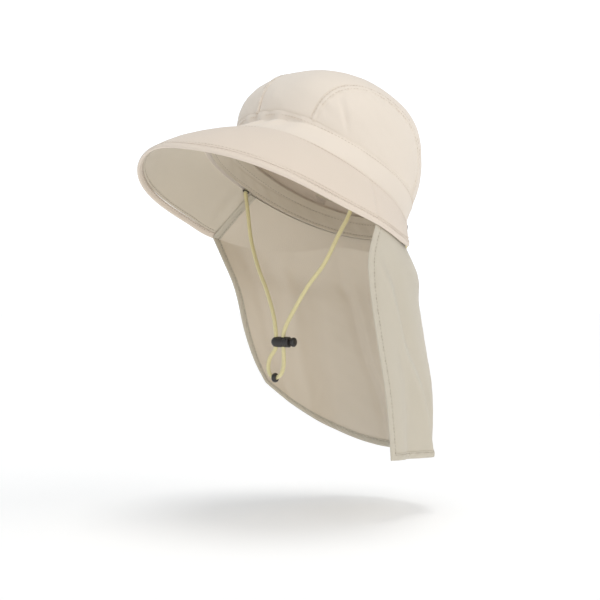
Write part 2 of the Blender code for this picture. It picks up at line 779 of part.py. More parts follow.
def make_cords():
    cord_tube("chin_cord", smooth_route(chin_route()))
    cord_tube("rear_cord", smooth_route(rear_route()))
    cord_lock("chin_lock", CHIN_LOCK_PLACE, "chin")
    cord_lock("rear_lock", rear_exit(0.0, REAR_LOCK_STANDOFF + LOCK_RADIUS), "rear")
    half = BEAD_LENGTH / 2
    rounded = BEAD_RADIUS * 0.72
    bead = turned(
        "cord_bead",
        [
            (-half, BEAD_HOLE),
            (-half, rounded),
            (-half * 0.55, BEAD_RADIUS),
            (half * 0.55, BEAD_RADIUS),
            (half, rounded),
            (half, BEAD_HOLE),
        ],
        BLACK_PLASTIC,
    )
    bead.location = chin_frame(BEAD_ALONG, BEAD_DROP)
    bead.rotation_euler = (0.0, 0.0, math.radians(CHIN_LOCK_YAW))


def main():
    for item in list(bpy.data.objects):
        bpy.data.objects.remove(item, do_unlink=True)
    make_crown()
    make_sweatband()
    make_eyelets()
    make_brim()
    make_flap()
    make_cords()


main()
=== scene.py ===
"""Looks of the sun hat: its cloth, seams, stitches, cords and hard trim, all as surfaces
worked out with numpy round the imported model.

Lengths are metres in the world's axes: +Z up, the wearer faces -Y, +X is the wearer's
left, and the origin is the middle of the head opening. Bearings are degrees round the
opening: 0 in front, 90 on the wearer's left, 180 behind.
"""

import json
import math

import bpy
import numpy as np
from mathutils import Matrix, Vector

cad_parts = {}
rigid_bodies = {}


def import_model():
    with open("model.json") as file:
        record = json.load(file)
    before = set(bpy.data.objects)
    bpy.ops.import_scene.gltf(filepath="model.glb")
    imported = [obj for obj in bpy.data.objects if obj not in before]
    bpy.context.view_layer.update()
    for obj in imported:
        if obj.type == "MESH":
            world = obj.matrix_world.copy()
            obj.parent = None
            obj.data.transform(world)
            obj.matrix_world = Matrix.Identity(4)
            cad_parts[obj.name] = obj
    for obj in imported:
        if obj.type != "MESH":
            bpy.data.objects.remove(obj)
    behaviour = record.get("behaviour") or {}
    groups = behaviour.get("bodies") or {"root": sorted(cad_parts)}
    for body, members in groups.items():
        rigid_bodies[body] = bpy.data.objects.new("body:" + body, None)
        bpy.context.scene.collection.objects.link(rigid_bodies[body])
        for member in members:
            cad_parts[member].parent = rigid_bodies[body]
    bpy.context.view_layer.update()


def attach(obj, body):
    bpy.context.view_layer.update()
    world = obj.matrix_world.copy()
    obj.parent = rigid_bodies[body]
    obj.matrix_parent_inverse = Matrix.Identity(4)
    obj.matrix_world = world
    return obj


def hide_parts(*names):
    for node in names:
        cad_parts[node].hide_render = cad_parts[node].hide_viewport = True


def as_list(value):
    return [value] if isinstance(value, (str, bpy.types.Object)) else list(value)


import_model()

BODY = "hat"
HAT_TILT = 26.5
GAP = 0.0003
PROBE = 0.0005

# Camera and stage, from the photograph
CAMERA_AZIMUTH = 51.4
CAMERA_DISTANCE = 1.0
CAMERA_TARGET_ACROSS = -0.0047
CAMERA_TARGET_UP = -0.0985
CAMERA_LENS = 69.66
SENSOR = 36.0
FLOOR_HEIGHT = -0.285
FLOOR_GLOW = 0.21
SKY = 0.50
SKY_SEEN = 1.25

# Head opening and crown
HEAD_HALF_WIDTH = 0.081
HEAD_FRONT = 0.090
HEAD_BACK = 0.0995
HEAD_FRONT_POWER = 2.4
HEAD_BACK_POWER = 2.0
CLOTH = 0.0014
BAND_HEIGHT = 0.022
BAND_RISE = 0.0075
CROWN_HEIGHT = 0.0868
CROWN_HALF_WIDTH = 0.0761
CROWN_HALF_LENGTH = 0.0833
CROWN_SWELL = 0.0048
CROWN_FRONT_POWER = 2.4
CROWN_BACK_POWER = 2.0
CROWN_SET_BACK = 0.0154
CROWN_TOP_BACK = 0.0154
CROWN_MID_FORWARD = 0.0095
SEAM_COLUMNS = ("lean", "left", "right")
SEAMS = (
    (0.0, 0.67, -0.02),
    (30.0, 0.72, -0.02),
    (75.0, 0.78, -0.46),
    (120.0, 0.80, -0.76),
    (180.0, 0.80, -0.78),
)

# Sweatband, casing and eyelets
SWEATBAND_CLOTH = 0.0012
SWEATBAND_TOP = 0.0185
SWEATBAND_DROP = 0.0019
CASING = 0.0042
CHANNEL_HEIGHT = 0.0070
EYELET_BEARING = 86.0

# Brim
BRIM_WIDTH = 0.072
BRIM_CLOTH = 0.0022
BRIM_TAIL_END = 150.0
BRIM_END_SEAM = 90.0
BINDING_WIDTH = 0.0060
BINDING_CLOTH = 0.0028
BRIM_COLUMNS = ("bearing", "width", "slope_at_rim", "slope_at_edge")
BRIM_ROWS = (
    (0.0, 1.000, 29.0, 57.0),
    (25.0, 0.949, 25.0, 70.0),
    (50.0, 0.889, 34.0, 71.0),
    (72.0, 0.806, 45.0, 68.0),
    (90.0, 0.785, 48.0, 58.0),
    (120.0, 0.500, 59.0, 64.0),
    (150.0, 0.167, 66.0, 70.0),
    (180.0, 0.167, 68.0, 72.0),
)

# Neck flap
FLAP_HALF_WIDTH = 0.099
FLAP_DEPTH = 0.123
FLAP_LENGTH = 0.238
FLAP_CLOTH = 0.0012
FLAP_FRONT_BEARING = 90.0
FLAP_SHOULDER = 0.16
FLAP_SHOULDER_SHARE = 0.97
FLAP_HEM_WIDTH = 0.0065
FLAP_HEM_CLOTH = 0.0024
FLAP_SEAT = 0.0004
FLAP_FALL_POWER = 1.30
FLAP_COLUMNS = (
    "drop",
    "left_width",
    "left_y",
    "right_width",
    "right_y",
    "back_y",
    "left_z",
    "back_z",
    "right_z",
)
FLAP_ROWS = (
    (0.25, 1.000, -0.138, 1.000, -0.138, 0.805, -0.265, -0.345, -0.265),
    (0.36, 0.939, -0.081, 0.944, -0.081, 0.837, -0.357, -0.437, -0.357),
    (0.55, 0.919, 0.000, 0.919, 0.000, 0.886, -0.546, -0.613, -0.521),
    (0.78, 0.808, 0.163, 0.889, 0.081, 0.976, -0.748, -0.798, -0.647),
    (1.00, 0.727, 0.268, 0.828, 0.154, 1.000, -0.975, -1.000, -0.735),
)
FLAP_FOLDS = (
    (0.12, 0.050, 0.049, 0.25, 0.60),
    (0.30, 0.060, -0.033, 0.30, 0.70),
    (0.52, 0.050, 0.033, 0.20, 0.45),
    (0.78, 0.060, -0.024, 0.25, 0.60),
)
# Finer folds that only show here: across at the shoulder and at the hem, half width
# across, depth inwards as a share of FLAP_DEPTH, and the drops between which it grows.
FINE_FOLD_COLUMNS = ("across_top", "across_hem", "half_width", "depth", "start", "full")
FINE_FOLDS = (
    (-0.050, 0.235, 0.026, -0.036, 0.16, 0.34),
    (-0.005, 0.300, 0.028, 0.020, 0.18, 0.42),
    (0.690, 0.590, 0.020, -0.018, 0.10, 0.35),
    (0.655, 0.560, 0.022, 0.018, 0.15, 0.45),
    (0.820, 0.845, 0.022, 0.013, 0.03, 0.20),
    (0.745, 0.775, 0.026, -0.010, 0.15, 0.40),
    (0.450, 0.430, 0.024, 0.013, 0.10, 0.40),
    (0.375, 0.350, 0.022, -0.011, 0.15, 0.45),
    (0.930, 0.915, 0.018, -0.008, 0.05, 0.30),
)

# Seams and stitches
STITCH_PITCH = 0.0031
STITCH_LENGTH = 0.0024
THREAD = 0.00026
FELL_WIDTH = 0.0085
STITCH_INSET = 0.0016

# Cords
CORD = 0.0035
CORD_FINE_STEP = 0.0016
CORD_END_GAP = 0.0010
LEFT_STRAND = (
    (76.6, -7.2, -7.0),
    (72.9, -8.2, -14.0),
    (68.3, -9.4, -28.5),
    (57.7, -12.2, -46.0),
    (44.1, -15.8, -68.7),
    (28.3, -20.0, -86.8),
    (14.2, -23.8, -107.0),
    (6.4, -25.8, -119.5),
)
RIGHT_STRAND = (
    (-76.4, -7.5, -7.0),
    (-73.4, -8.2, -16.7),
    (-64.2, -10.9, -44.7),
    (-46.4, -16.2, -70.0),
    (-26.1, -22.3, -90.0),
    (-9.6, -27.4, -111.0),
    (-5.0, -28.9, -122.0),
)
CHIN_LOOP = (
    (2.6, 6.0),
    (2.9, 14.0),
    (2.4, 22.0),
    (-0.6, 28.0),
    (-5.8, 30.6),
    (-10.9, 28.0),
    (-12.9, 22.0),
    (-11.2, 14.0),
    (-7.4, 8.6),
    (-5.2, 5.0),
)
REAR_LOOP = (
    (2.6, 0.0, 0.0),
    (2.8, 5.0, 0.0),
    (4.2, 9.0, -2.6),
    (5.6, 10.4, -8.0),
    (4.4, 10.0, -14.0),
    (-1.2, 9.6, -18.0),
    (-6.8, 10.0, -14.0),
    (-8.0, 10.4, -8.0),
    (-6.6, 9.0, -2.6),
    (-5.2, 5.0, 0.0),
    (-5.0, 0.0, 0.0),
)

# Cord locks and bead
LOCK_LENGTH = 0.0180
LOCK_RADIUS = 0.0045
LOCK_HOLE = 0.0020
LOCK_HOLE_SPREAD = 0.0076
LOCK_HOLE_SHIFT = -0.0012
BUTTON_TRAVEL = 0.0025
BUTTON_STEM = 0.0018
BUTTON_INSERT = 0.0010
BUTTON_BORE = 0.0021
BUTTON_BORE_DEPTH = 0.0041
BUTTON_CAP_LENGTH = 0.0034
BUTTON_CAP_RADIUS = 0.0040
CHIN_LOCK_PLACE = (0.0010, -0.0275, -0.1340)
CHIN_LOCK_YAW = 19.0
REAR_LOCK_STANDOFF = 0.0050
REAR_EXIT_HEIGHT = 0.0180
BEAD_ALONG = -0.0058
BEAD_DROP = 0.0304
BEAD_RADIUS = 0.0041
BEAD_LENGTH = 0.0044
BEAD_HOLE = 0.0024

# Colours, linear
CREAM = (0.83, 0.745, 0.65)
BRIM_CREAM = (0.78, 0.68, 0.58)
KHAKI = (0.70, 0.63, 0.52)
# Flap outside: darker than the crown's cream, as painted shade for the lower light on it.
FLAP_BEIGE_PAINTED_SHADE = (0.60, 0.55, 0.455)
# Flap inside: lighter than its outside though the same cloth, as painted light on its shaded inside.
FLAP_INSIDE_PAINTED_LIGHT = (0.76, 0.68, 0.565)
THREAD_CREAM = (0.72, 0.63, 0.53)
THREAD_KHAKI = (0.44, 0.39, 0.31)
CORD_YELLOW = (0.88, 0.78, 0.40)
BLACK = (0.018, 0.016, 0.015)


# Curves and surfaces


def curve_through(places, rows, at, level_ends=False):
    """Cubic pieces through a table's rows; the slope at each row is the mean of the two
    steps beside it, or nothing at the ends where level_ends is set."""
    rows = [np.asarray(row, float) for row in rows]
    pairs = list(zip(places, places[1:]))
    steps = [(rows[i + 1] - rows[i]) / (q - p) for i, (p, q) in enumerate(pairs)]
    ends = 0.0 if level_ends else 1.0
    inner = [(before + after) / 2 for before, after in zip(steps, steps[1:])]
    slopes = [ends * steps[0], *inner, ends * steps[-1]]
    total = 0.0
    for i, (p, q) in enumerate(pairs):
        inside = (at >= p if i else True) & (at < q if i + 2 < len(places) else True)
        t = (at - p) / (q - p)
        value = (
            rows[i] * (2 * t**3 - 3 * t**2 + 1)
            + slopes[i] * (q - p) * (t**3 - 2 * t**2 + t)
            + rows[i + 1] * (3 * t**2 - 2 * t**3)
            + slopes[i + 1] * (q - p) * (t**3 - t**2)
        )
        total = total + np.where(inside, value, 0.0)
    return total


def column(rows, names, name):
    """One named column of a table."""
    return [row[names.index(name)] for row in rows]


def ease(value, start, end):
    """0 before start, 1 after end, and 3t^2 - 2t^3 between them."""
    t = np.clip((value - start) / (end - start), 0.0, 1.0)
    return t * t * (3 - 2 * t)


def bell(value, middle, half_width):
    """A bell curve: e to the minus square of the distance in half widths."""
    return np.exp(-(((value - middle) / half_width) ** 2))


def vector(x, y, z):
    """Three arrays of coordinates as one array of points."""
    return np.stack(np.broadcast_arrays(x, y, z), axis=-1)


def unit(vectors):
    """Vectors divided by their lengths."""
    return vectors / np.linalg.norm(vectors, axis=-1, keepdims=True)


def to_world(points):
    """Points turned about X by the hat's tilt: y cos + z sin, z cos - y sin."""
    turn = math.radians(HAT_TILT)
    x, y, z = np.moveaxis(np.asarray(points, float), -1, 0)
    return vector(
        x,
        y * math.cos(turn) + z * math.sin(turn),
        z * math.cos(turn) - y * math.sin(turn),
    )


def facing_of(surface, u, v):
    """Unit normals: the cross product of the surface's slopes across and along."""
    across = surface(u + PROBE, v) - surface(u - PROBE, v)
    along = surface(u, v + PROBE) - surface(u, v - PROBE)
    return unit(np.cross(across, along))


def crumple(place, size, seed):
    """Smooth noise from -1 to 1: a mean of sine waves that cross at set directions."""
    total = 0.0
    for wave in range(6):
        angle = seed * 1.7 + wave * 2.4
        lift = math.sin(seed * 2.3 + wave * 1.9)
        direction = np.array([math.cos(angle), math.sin(angle), lift])
        stretch = 1.0 + 0.45 * math.sin(seed + 3.1 * wave)
        total = total + np.sin(place @ direction * (2 * math.pi * stretch / size) + angle * 3)
    return total / 6


def rim(bearing):
    """The head opening: a superellipse, |x/a|^p + |y/b|^p = 1."""
    angle = np.radians(bearing)
    side, ahead = np.sin(angle), np.cos(angle)
    power = np.where(ahead > 0, HEAD_FRONT_POWER, HEAD_BACK_POWER)
    length = np.where(ahead > 0, HEAD_FRONT, HEAD_BACK)
    reach = (np.abs(side) ** power + np.abs(ahead) ** power) ** (-1 / power)
    return vector(HEAD_HALF_WIDTH * side * reach, -length * ahead * reach, 0.0)


def rim_outward(bearing):
    """The level direction square to the head opening."""
    along = rim(bearing + 0.5) - rim(bearing - 0.5)
    return unit(vector(along[..., 1], -along[..., 0], 0.0))


def crown_power(lean):
    """The crown's power eases from front to back with the cosine of the lean."""
    return CROWN_BACK_POWER + (CROWN_FRONT_POWER - CROWN_BACK_POWER) * (1 + np.cos(lean)) / 2


def crown(x, y, z):
    """The crown in a direction: a superellipsoid, swollen by a sine of its height and
    leant backwards in proportion to it."""
    power = crown_power(np.arctan2(z, -y))
    reach = (np.abs(x) ** power + np.abs(y) ** power + np.abs(z) ** power) ** (-1 / power)
    x, y, height = x * reach, y * reach, z * reach
    bulge = np.sin(math.pi * height)
    back = CROWN_SET_BACK + CROWN_TOP_BACK * height - CROWN_MID_FORWARD * bulge
    return vector(
        (CROWN_HALF_WIDTH + CROWN_SWELL * bulge) * x,
        (CROWN_HALF_LENGTH + CROWN_SWELL * bulge) * y + back,
        BAND_HEIGHT + CROWN_HEIGHT * height,
    )


def crown_arch(share, lean):
    """The direction at a share of the half width and a lean over the top."""
    angle = np.radians(lean)
    power = crown_power(angle)
    reach = (1 - np.abs(share) ** power) ** (1 / power)
    ahead, up = np.cos(angle), np.sin(angle)
    size = reach * (np.abs(ahead) ** power + np.abs(up) ** power) ** (-1 / power)
    return share, -size * ahead, size * up


def seam_share(side, lean):
    """How far out a seam lies at a lean, as a share of the crown's half width."""
    shares = column(SEAMS, SEAM_COLUMNS, "left" if side > 0 else "right")
    return curve_through(column(SEAMS, SEAM_COLUMNS, "lean"), shares, lean)


def band_rise(bearing):
    """The band's top edge above its height at the sides: all of BAND_RISE in front,
    eased to nothing past the temples."""
    around = np.abs((bearing + 180.0) % 360.0 - 180.0)
    return BAND_RISE * (1 - ease(around, 12.0, 66.0))


def foot_lean(share):
    """The lean at which the band's top edge meets the crown at a share of its width."""
    _, y, _ = crown_arch(share, np.zeros_like(share))
    bearing = np.degrees(np.arctan2(share, -y))
    across = np.hypot(share, y)
    return np.degrees(np.arctan2(band_rise(bearing) / CROWN_HEIGHT * across, -y))


def centre_panel(across, along):
    """The centre panel: from its right seam to its left one, and from the band in front
    over the top to the band behind."""
    first = foot_lean(seam_share(-1, 0.0) + across * (seam_share(1, 0.0) - seam_share(-1, 0.0)))
    lean = first + (180.0 - first) * along
    right, left = seam_share(-1, lean), seam_share(1, lean)
    return to_world(crown(*crown_arch(right + across * (left - right), lean)))


def side_panel(side):
    """A side panel: along from its front tip to its back one, up from band to seam."""

    def surface(along, up):
        tip = foot_lean(np.asarray(seam_share(side, 0.0)))
        lean = tip + (180.0 - tip) * along
        seam = crown_arch(seam_share(side, lean), lean)
        ends = [crown_arch(seam_share(side, at), at) for at in (tip, np.array(180.0))]
        front, back = (np.arctan2(side * x, -y) for x, y, _ in ends)
        angle = front + (back - front) * along
        height = band_rise(np.degrees(angle)) / CROWN_HEIGHT
        foot = (side * np.sin(angle), -np.cos(angle), height)
        return to_world(crown(*(low * (1 - up) + high * up for low, high in zip(foot, seam))))

    return surface


def band(bearing, up):
    """The band: straight from the opening to the crown's foot, then on along the crown
    up to the band's own top edge."""
    angle = np.radians(bearing)
    height = up * (BAND_HEIGHT + band_rise(bearing))
    over = np.maximum(height - BAND_HEIGHT, 0.0) / CROWN_HEIGHT
    top = crown(np.sin(angle), -np.cos(angle), over)
    share = np.minimum(height / BAND_HEIGHT, 1.0)[..., None]
    return to_world(rim(bearing) * (1 - share) + top * share)


def inside_band(inset):
    """A surface that follows the band's straight part, moved in by a level inset."""

    def surface(bearing, up):
        angle = np.radians(bearing)
        foot = crown(np.sin(angle), -np.cos(angle), 0 * angle)
        share = np.asarray(up)[..., None]
        wall = to_world(rim(bearing) * (1 - share) + foot * share)
        return wall - to_world(rim_outward(bearing)) * inset

    return surface


def channel(bearing, height):
    """The middle of the cord casing, at a height above the head opening."""
    place = inside_band(CLOTH + CASING / 2)
    return place(np.asarray(float(bearing)), np.asarray(height / BAND_HEIGHT))


def eyelet_place(side, height):
    """A point on an eyelet's axis, which stands square to the head opening."""
    bearing = side * EYELET_BEARING
    local = rim(bearing) - rim_outward(bearing) * (CLOTH + CASING / 2)
    return to_world(local + np.array([0.0, 0.0, height]))


def brim(bearing, share):
    """The brim: an arc down from the head opening at each bearing, whose slope grows
    evenly from the table's first slope to its last one."""
    around = np.abs((bearing + 180.0) % 360.0 - 180.0)
    places = column(BRIM_ROWS, BRIM_COLUMNS, "bearing")
    width, first, last = (
        curve_through(places, column(BRIM_ROWS, BRIM_COLUMNS, name), around, level_ends=True)
        for name in BRIM_COLUMNS[1:]
    )
    first, last = np.radians(first), np.radians(last)
    slope = first + (last - first) * share
    radius = BRIM_WIDTH * width / (last - first)
    out = radius * (np.sin(slope) - np.sin(first)) + GAP
    down = radius * (np.cos(first) - np.cos(slope))
    local = rim(bearing) + rim_outward(bearing) * out[..., None]
    return to_world(local - vector(0.0, 0.0, down))


def binding_share(bearing):
    """The share of the brim's width that lies inside its binding."""
    width = np.linalg.norm(brim(bearing, 1.0 + PROBE) - brim(bearing, 1.0 - PROBE), axis=-1)
    return 1 - BINDING_WIDTH * 2 * PROBE / width


def brim_body(bearing, part):
    """The brim from the head opening to its binding."""
    return brim(bearing, part * binding_share(bearing))


def brim_strip(bearing, part):
    """The brim's binding, just past the brim's own edge."""
    start = binding_share(bearing)
    start = start + (1 - start) * GAP / BINDING_WIDTH
    return brim(bearing, start + part * (1 - start))


def under_brim(across, share):
    """The flap's own place under the brim and its tails."""
    bearing = FLAP_FRONT_BEARING + across * (360.0 - 2 * FLAP_FRONT_BEARING)
    drop = BINDING_CLOTH / 2 + FLAP_HEM_CLOTH / 2 + FLAP_SEAT
    return brim(bearing, share) + facing_of(brim, bearing, share) * drop


def flap_section(row, across):
    """A half ring: width times the cosine, and the back reached with the sine."""
    value = dict(zip(FLAP_COLUMNS, row))
    angle = math.pi * across
    behind = np.sin(angle)
    left = angle < math.pi / 2
    width = np.where(left, value["left_width"], value["right_width"])
    edge_y = np.where(left, value["left_y"], value["right_y"])
    edge_z = np.where(left, value["left_z"], value["right_z"])
    drop = np.where(left, behind, 1 - np.maximum(1 - behind, 0.0) ** FLAP_FALL_POWER)
    return vector(
        FLAP_HALF_WIDTH * width * np.cos(angle),
        FLAP_DEPTH * (edge_y + (value["back_y"] - edge_y) * behind),
        FLAP_LENGTH * (edge_z + (value["back_z"] - edge_z) * drop),
    )


def flap(across, drop):
    """The flap: under the brim down to its shoulder, then through its sections, with
    its folds pressed in towards the neck and out from it."""
    share = np.clip(drop / FLAP_SHOULDER, -0.1, 1.0) * FLAP_SHOULDER_SHARE
    upper = under_brim(across, share)
    shoulder = under_brim(across, np.full_like(across, FLAP_SHOULDER_SHARE))
    levels = [shoulder] + [flap_section(row, across) for row in FLAP_ROWS]
    places = [FLAP_SHOULDER] + column(FLAP_ROWS, FLAP_COLUMNS, "drop")
    lower = curve_through(places, levels, np.asarray(drop)[..., None])
    cloth = np.where((drop < FLAP_SHOULDER)[..., None], upper, lower)
    angle = math.pi * across
    inward = vector(-np.cos(angle), -np.sin(angle), 0.0)
    depth = 0.0
    for place, half_width, deep, start, full in FLAP_FOLDS:
        depth = depth + deep * bell(across, place, half_width) * ease(drop, start, full)
    for top, hem, half_width, deep, start, full in FINE_FOLDS:
        place = top + (hem - top) * drop
        depth = depth + deep * bell(across, place, half_width) * ease(drop, start, full)
    depth = FLAP_DEPTH * depth + 0.0007 * crumple(cloth, 0.075, 3.0) * ease(drop, 0.14, 0.30)
    return cloth + inward * np.asarray(depth)[..., None]


def hem_shares():
    """The share of the flap that the hem takes at its left, right and bottom edges, each
    at EDGE_STOPS along the edge: the hem's width over the flap's own length there."""
    low, high = np.zeros_like(EDGE_STOPS), np.ones_like(EDGE_STOPS)
    edges = (
        (low, EDGE_STOPS, PROBE, 0.0),
        (high, EDGE_STOPS, PROBE, 0.0),
        (EDGE_STOPS, high, 0.0, PROBE),
    )
    shares = []
    for across, drop, aside, down in edges:
        step = flap(across + aside, drop + down) - flap(across - aside, drop - down)
        shares.append(FLAP_HEM_WIDTH * 2 * PROBE / np.linalg.norm(step, axis=-1))
    return shares


EDGE_STOPS = np.linspace(0.0, 1.0, 241)
HEM_LEFT, HEM_RIGHT, HEM_BOTTOM = hem_shares()


def within_hem(across, drop, inner):
    """The flap within a frame that leaves a share of the hem's width all round."""
    left = np.interp(drop, EDGE_STOPS, HEM_LEFT) * inner
    right = np.interp(drop, EDGE_STOPS, HEM_RIGHT) * inner
    bottom = np.interp(across, EDGE_STOPS, HEM_BOTTOM) * inner
    return flap(left + across * (1 - left - right), drop * (1 - bottom))


def flap_body(across, drop):
    """The flap inside its hem."""
    return within_hem(across, drop, 1.0)


def hem_strip(along, inner):
    """The hem: left edge (0 to 1), bottom (1 to 2) and right edge (2 to 3), inner from 0
    at the free edge to 1 at the flap's own cloth."""
    drop = np.where(along < 1, along, np.where(along > 2, 3 - along, 1.0))
    return within_hem(np.clip(along - 1, 0.0, 1.0), drop, inner)


# Mesh makers


def link(name, mesh):
    """An object at the origin that rides on the hat."""
    made = bpy.data.objects.new(name, mesh)
    bpy.context.scene.collection.objects.link(made)
    return made


def quads(index):
    """The faces between neighbouring rows and columns of a grid of numbers."""
    corners = (index[:-1, :-1], index[:-1, 1:], index[1:, 1:], index[1:, :-1])
    return np.stack(corners, axis=-1).reshape(-1, 4)


def mesh_of(name, points, faces, uv_of_corner=None, sharp=50.0):
    """A smooth mesh from points and quads, with a UV map where one is given."""
    mesh = bpy.data.meshes.new(name)
    mesh.from_pydata(points.reshape(-1, 3), [], faces)
    if uv_of_corner is not None:
        layer = mesh.uv_layers.new(name="cloth")
        layer.data.foreach_set("uv", uv_of_corner.astype(np.float32).ravel())
    mesh.shade_smooth()
    mesh.set_sharp_from_angle(angle=math.radians(sharp))
    return mesh


def arc_lengths(place, axis):
    """How far each grid point lies along its row or column, in metres."""
    steps = np.linalg.norm(np.diff(place, axis=axis), axis=-1)
    start = np.zeros_like(np.take(steps, [0], axis=axis))
    return np.concatenate([start, np.cumsum(steps, axis=axis)], axis=axis)


def shell(name, surface, us, vs, outer, inner, closed=False):
    """A cloth wall: the surface's grid moved along its normals by two offsets, each a
    number or a function of the two parameters, the place and the distances along the
    grid's rows and columns. The skins are joined along their edges, and the UV map is
    the distance along the cloth in metres."""
    u, v = np.meshgrid(np.asarray(us, float), np.asarray(vs, float))
    place, normal = surface(u, v), facing_of(surface, u, v)
    ring = np.concatenate([place, place[:, :1]], axis=1) if closed else place
    along, up = arc_lengths(ring, 1), arc_lengths(ring, 0)
    cut = slice(None, -1) if closed else slice(None)
    skins, offsets = [], []
    for offset in (outer, inner):
        if callable(offset):
            offset = offset(u, v, place, along[:, cut], up[:, cut])
        offsets.append(np.broadcast_to(offset, u.shape))
        skins.append(place + normal * offsets[-1][..., None])
    index = np.arange(u.size).reshape(u.shape)
    if closed:
        index = np.concatenate([index, index[:, :1]], axis=1)
    slots = np.arange(index.size).reshape(index.shape)
    uv = np.stack([along, up], axis=-1).reshape(-1, 2)
    out, into = index, index + u.size
    groups = [(quads(out), quads(slots)), (quads(into)[:, ::-1], quads(slots)[:, ::-1])]
    strips = [((into[0], out[0]), slots[0]), ((out[-1], into[-1]), slots[-1])]
    if not closed:
        strips += [((out[:, 0], into[:, 0]), slots[:, 0])]
        strips += [((into[:, -1], out[:, -1]), slots[:, -1])]
    for pair, edge in strips:
        groups.append((quads(np.stack(pair)), quads(np.stack([edge, edge]))))
    faces = np.concatenate([group[0] for group in groups])
    corners = np.concatenate([group[1] for group in groups])
    if np.mean(offsets[0] - offsets[1]) < 0:
        faces, corners = faces[:, ::-1], corners[:, ::-1]
    return link(name, mesh_of(name, np.stack(skins), faces, uv[corners]))


def resampled(points, stops):
    """A path's points at set distances along it."""
    travelled = arc_lengths(points, 0)
    return np.stack([np.interp(stops, travelled, points[:, k]) for k in range(3)], axis=-1)


def sewn_path(surface, u, v, lift):
    """Points along a surface and the way out of the cloth there, lifted by lift; a
    negative lift goes to the surface's other side."""
    u, v = np.broadcast_arrays(np.asarray(u, float), np.asarray(v, float))
    normal = facing_of(surface, u, v)
    return surface(u, v) + normal * lift, normal * np.sign(lift)


def stitches(name, paths, finish):
    """Rows of stitches as one mesh. Each is a six-sided thread along its path, whose
    radius and height follow a round arch so that both its ends dive into the cloth."""
    pieces = []
    shares = np.linspace(-0.5, 0.5, 7)
    arch = np.sqrt(np.maximum(1 - (2 * shares) ** 2, 0.0))
    for points, normals in paths:
        length = arc_lengths(points, 0)[-1]
        middles = (np.arange(int(length / STITCH_PITCH)) + 0.5) * STITCH_PITCH
        stops = middles[:, None] + shares * STITCH_LENGTH
        centre = resampled(points, stops)
        travelled = arc_lengths(points, 0)
        outward = np.stack([np.interp(stops, travelled, normals[:, k]) for k in range(3)], axis=-1)
        ahead = unit(resampled(points, stops + 1e-5) - resampled(points, stops - 1e-5))
        side = unit(np.cross(ahead, outward))
        centre = centre + outward * (THREAD * (arch - 0.6))[:, None]
        angle = np.arange(6) * math.pi / 3
        radius = (THREAD * (0.25 + 0.75 * arch))[:, None, None]
        spread = outward[..., None, :] * np.cos(angle)[:, None]
        spread = spread + side[..., None, :] * np.sin(angle)[:, None]
        pieces.append((centre[..., None, :] + spread * radius).reshape(-1, len(shares), 6, 3))
    points = np.concatenate(pieces)
    count = len(points)
    one = np.arange(len(shares) * 6).reshape(len(shares), 6)
    wall = quads(np.concatenate([one, one[:, :1]], axis=1))[:, ::-1]
    caps = [np.stack([one[0, k] for k in (0, 1, 2, 3)]), np.stack([one[0, k] for k in (0, 3, 4, 5)])]
    caps += [np.stack([one[-1, k] for k in (3, 2, 1, 0)]), np.stack([one[-1, k] for k in (5, 4, 3, 0)])]
    faces = np.concatenate([wall, np.stack(caps)])
    faces = (faces[None] + (np.arange(count) * one.size)[:, None, None]).reshape(-1, 4)
    made = link(name, mesh_of(name, points, faces, sharp=180.0))
    made.data.materials.append(finish)
    return made


def turned(name, profile, sides=48):
    """A shape turned about X from places and radii; one that starts at no radius is
    closed with poles, and any other is a ring."""
    ring = profile[0][1] > 0
    places = np.array([place for place in profile if place[1] > 0])
    angle = np.arange(sides) * 2 * math.pi / sides
    x, r = places[:, :1], places[:, 1:]
    points = vector(x + 0 * angle, r * np.cos(angle), r * np.sin(angle)).reshape(-1, 3)
    index = np.arange(len(points)).reshape(len(places), sides)
    index = np.concatenate([index, index[:, :1]], axis=1)
    if ring:
        faces = quads(np.concatenate([index, index[:1]])).tolist()
    else:
        faces = quads(index).tolist()
        ends = [(profile[0][0], 0.0, 0.0), (profile[-1][0], 0.0, 0.0)]
        points = np.concatenate([points, ends])
        first, last = len(points) - 2, len(points) - 1
        faces += [(first, b, a) for a, b in zip(index[0, :-1].tolist(), index[0, 1:].tolist())]
        faces += [(last, a, b) for a, b in zip(index[-1, :-1].tolist(), index[-1, 1:].tolist())]
    mesh = bpy.data.meshes.new(name)
    mesh.from_pydata(points, [], faces)
    return mesh


def placed(mesh, place, axes, flip=False):
    """A mesh carried into the world: its X, Y and Z laid along three axes."""
    points = np.empty(len(mesh.vertices) * 3)
    mesh.vertices.foreach_get("co", points)
    points = points.reshape(-1, 3) @ np.array(axes) + np.asarray(place)
    mesh.vertices.foreach_set("co", points.ravel())
    if flip:
        mesh.flip_normals()
    mesh.update()
    return mesh


def axes_along(direction):
    """Three square axes, the first along a direction."""
    first = np.asarray(direction, float) / np.linalg.norm(direction)
    spare = np.array([0.0, 0.0, 1.0]) if abs(first[2]) < 0.9 else np.array([0.0, 1.0, 0.0])
    second = np.cross(spare, first)
    second /= np.linalg.norm(second)
    return first, second, np.cross(first, second)


# Materials


class Value:
    """A socket of a shader, with arithmetic that adds Math nodes."""

    def __init__(self, shader, socket):
        self.shader, self.socket = shader, socket

    def maths(self, operation, *values):
        return self.shader.node("ShaderNodeMath", {"operation": operation}, dict(enumerate(values)))

    def __add__(self, other):
        return self.maths("ADD", self, other)

    def __sub__(self, other):
        return self.maths("SUBTRACT", self, other)

    def __rsub__(self, other):
        return self.maths("SUBTRACT", other, self)

    def __mul__(self, other):
        return self.maths("MULTIPLY", self, other)

    def __pow__(self, other):
        return self.maths("POWER", self, other)

    __radd__ = __add__
    __rmul__ = __mul__

    def sine(self):
        return self.maths("SINE", self)

    def size(self):
        return self.maths("ABSOLUTE", self)


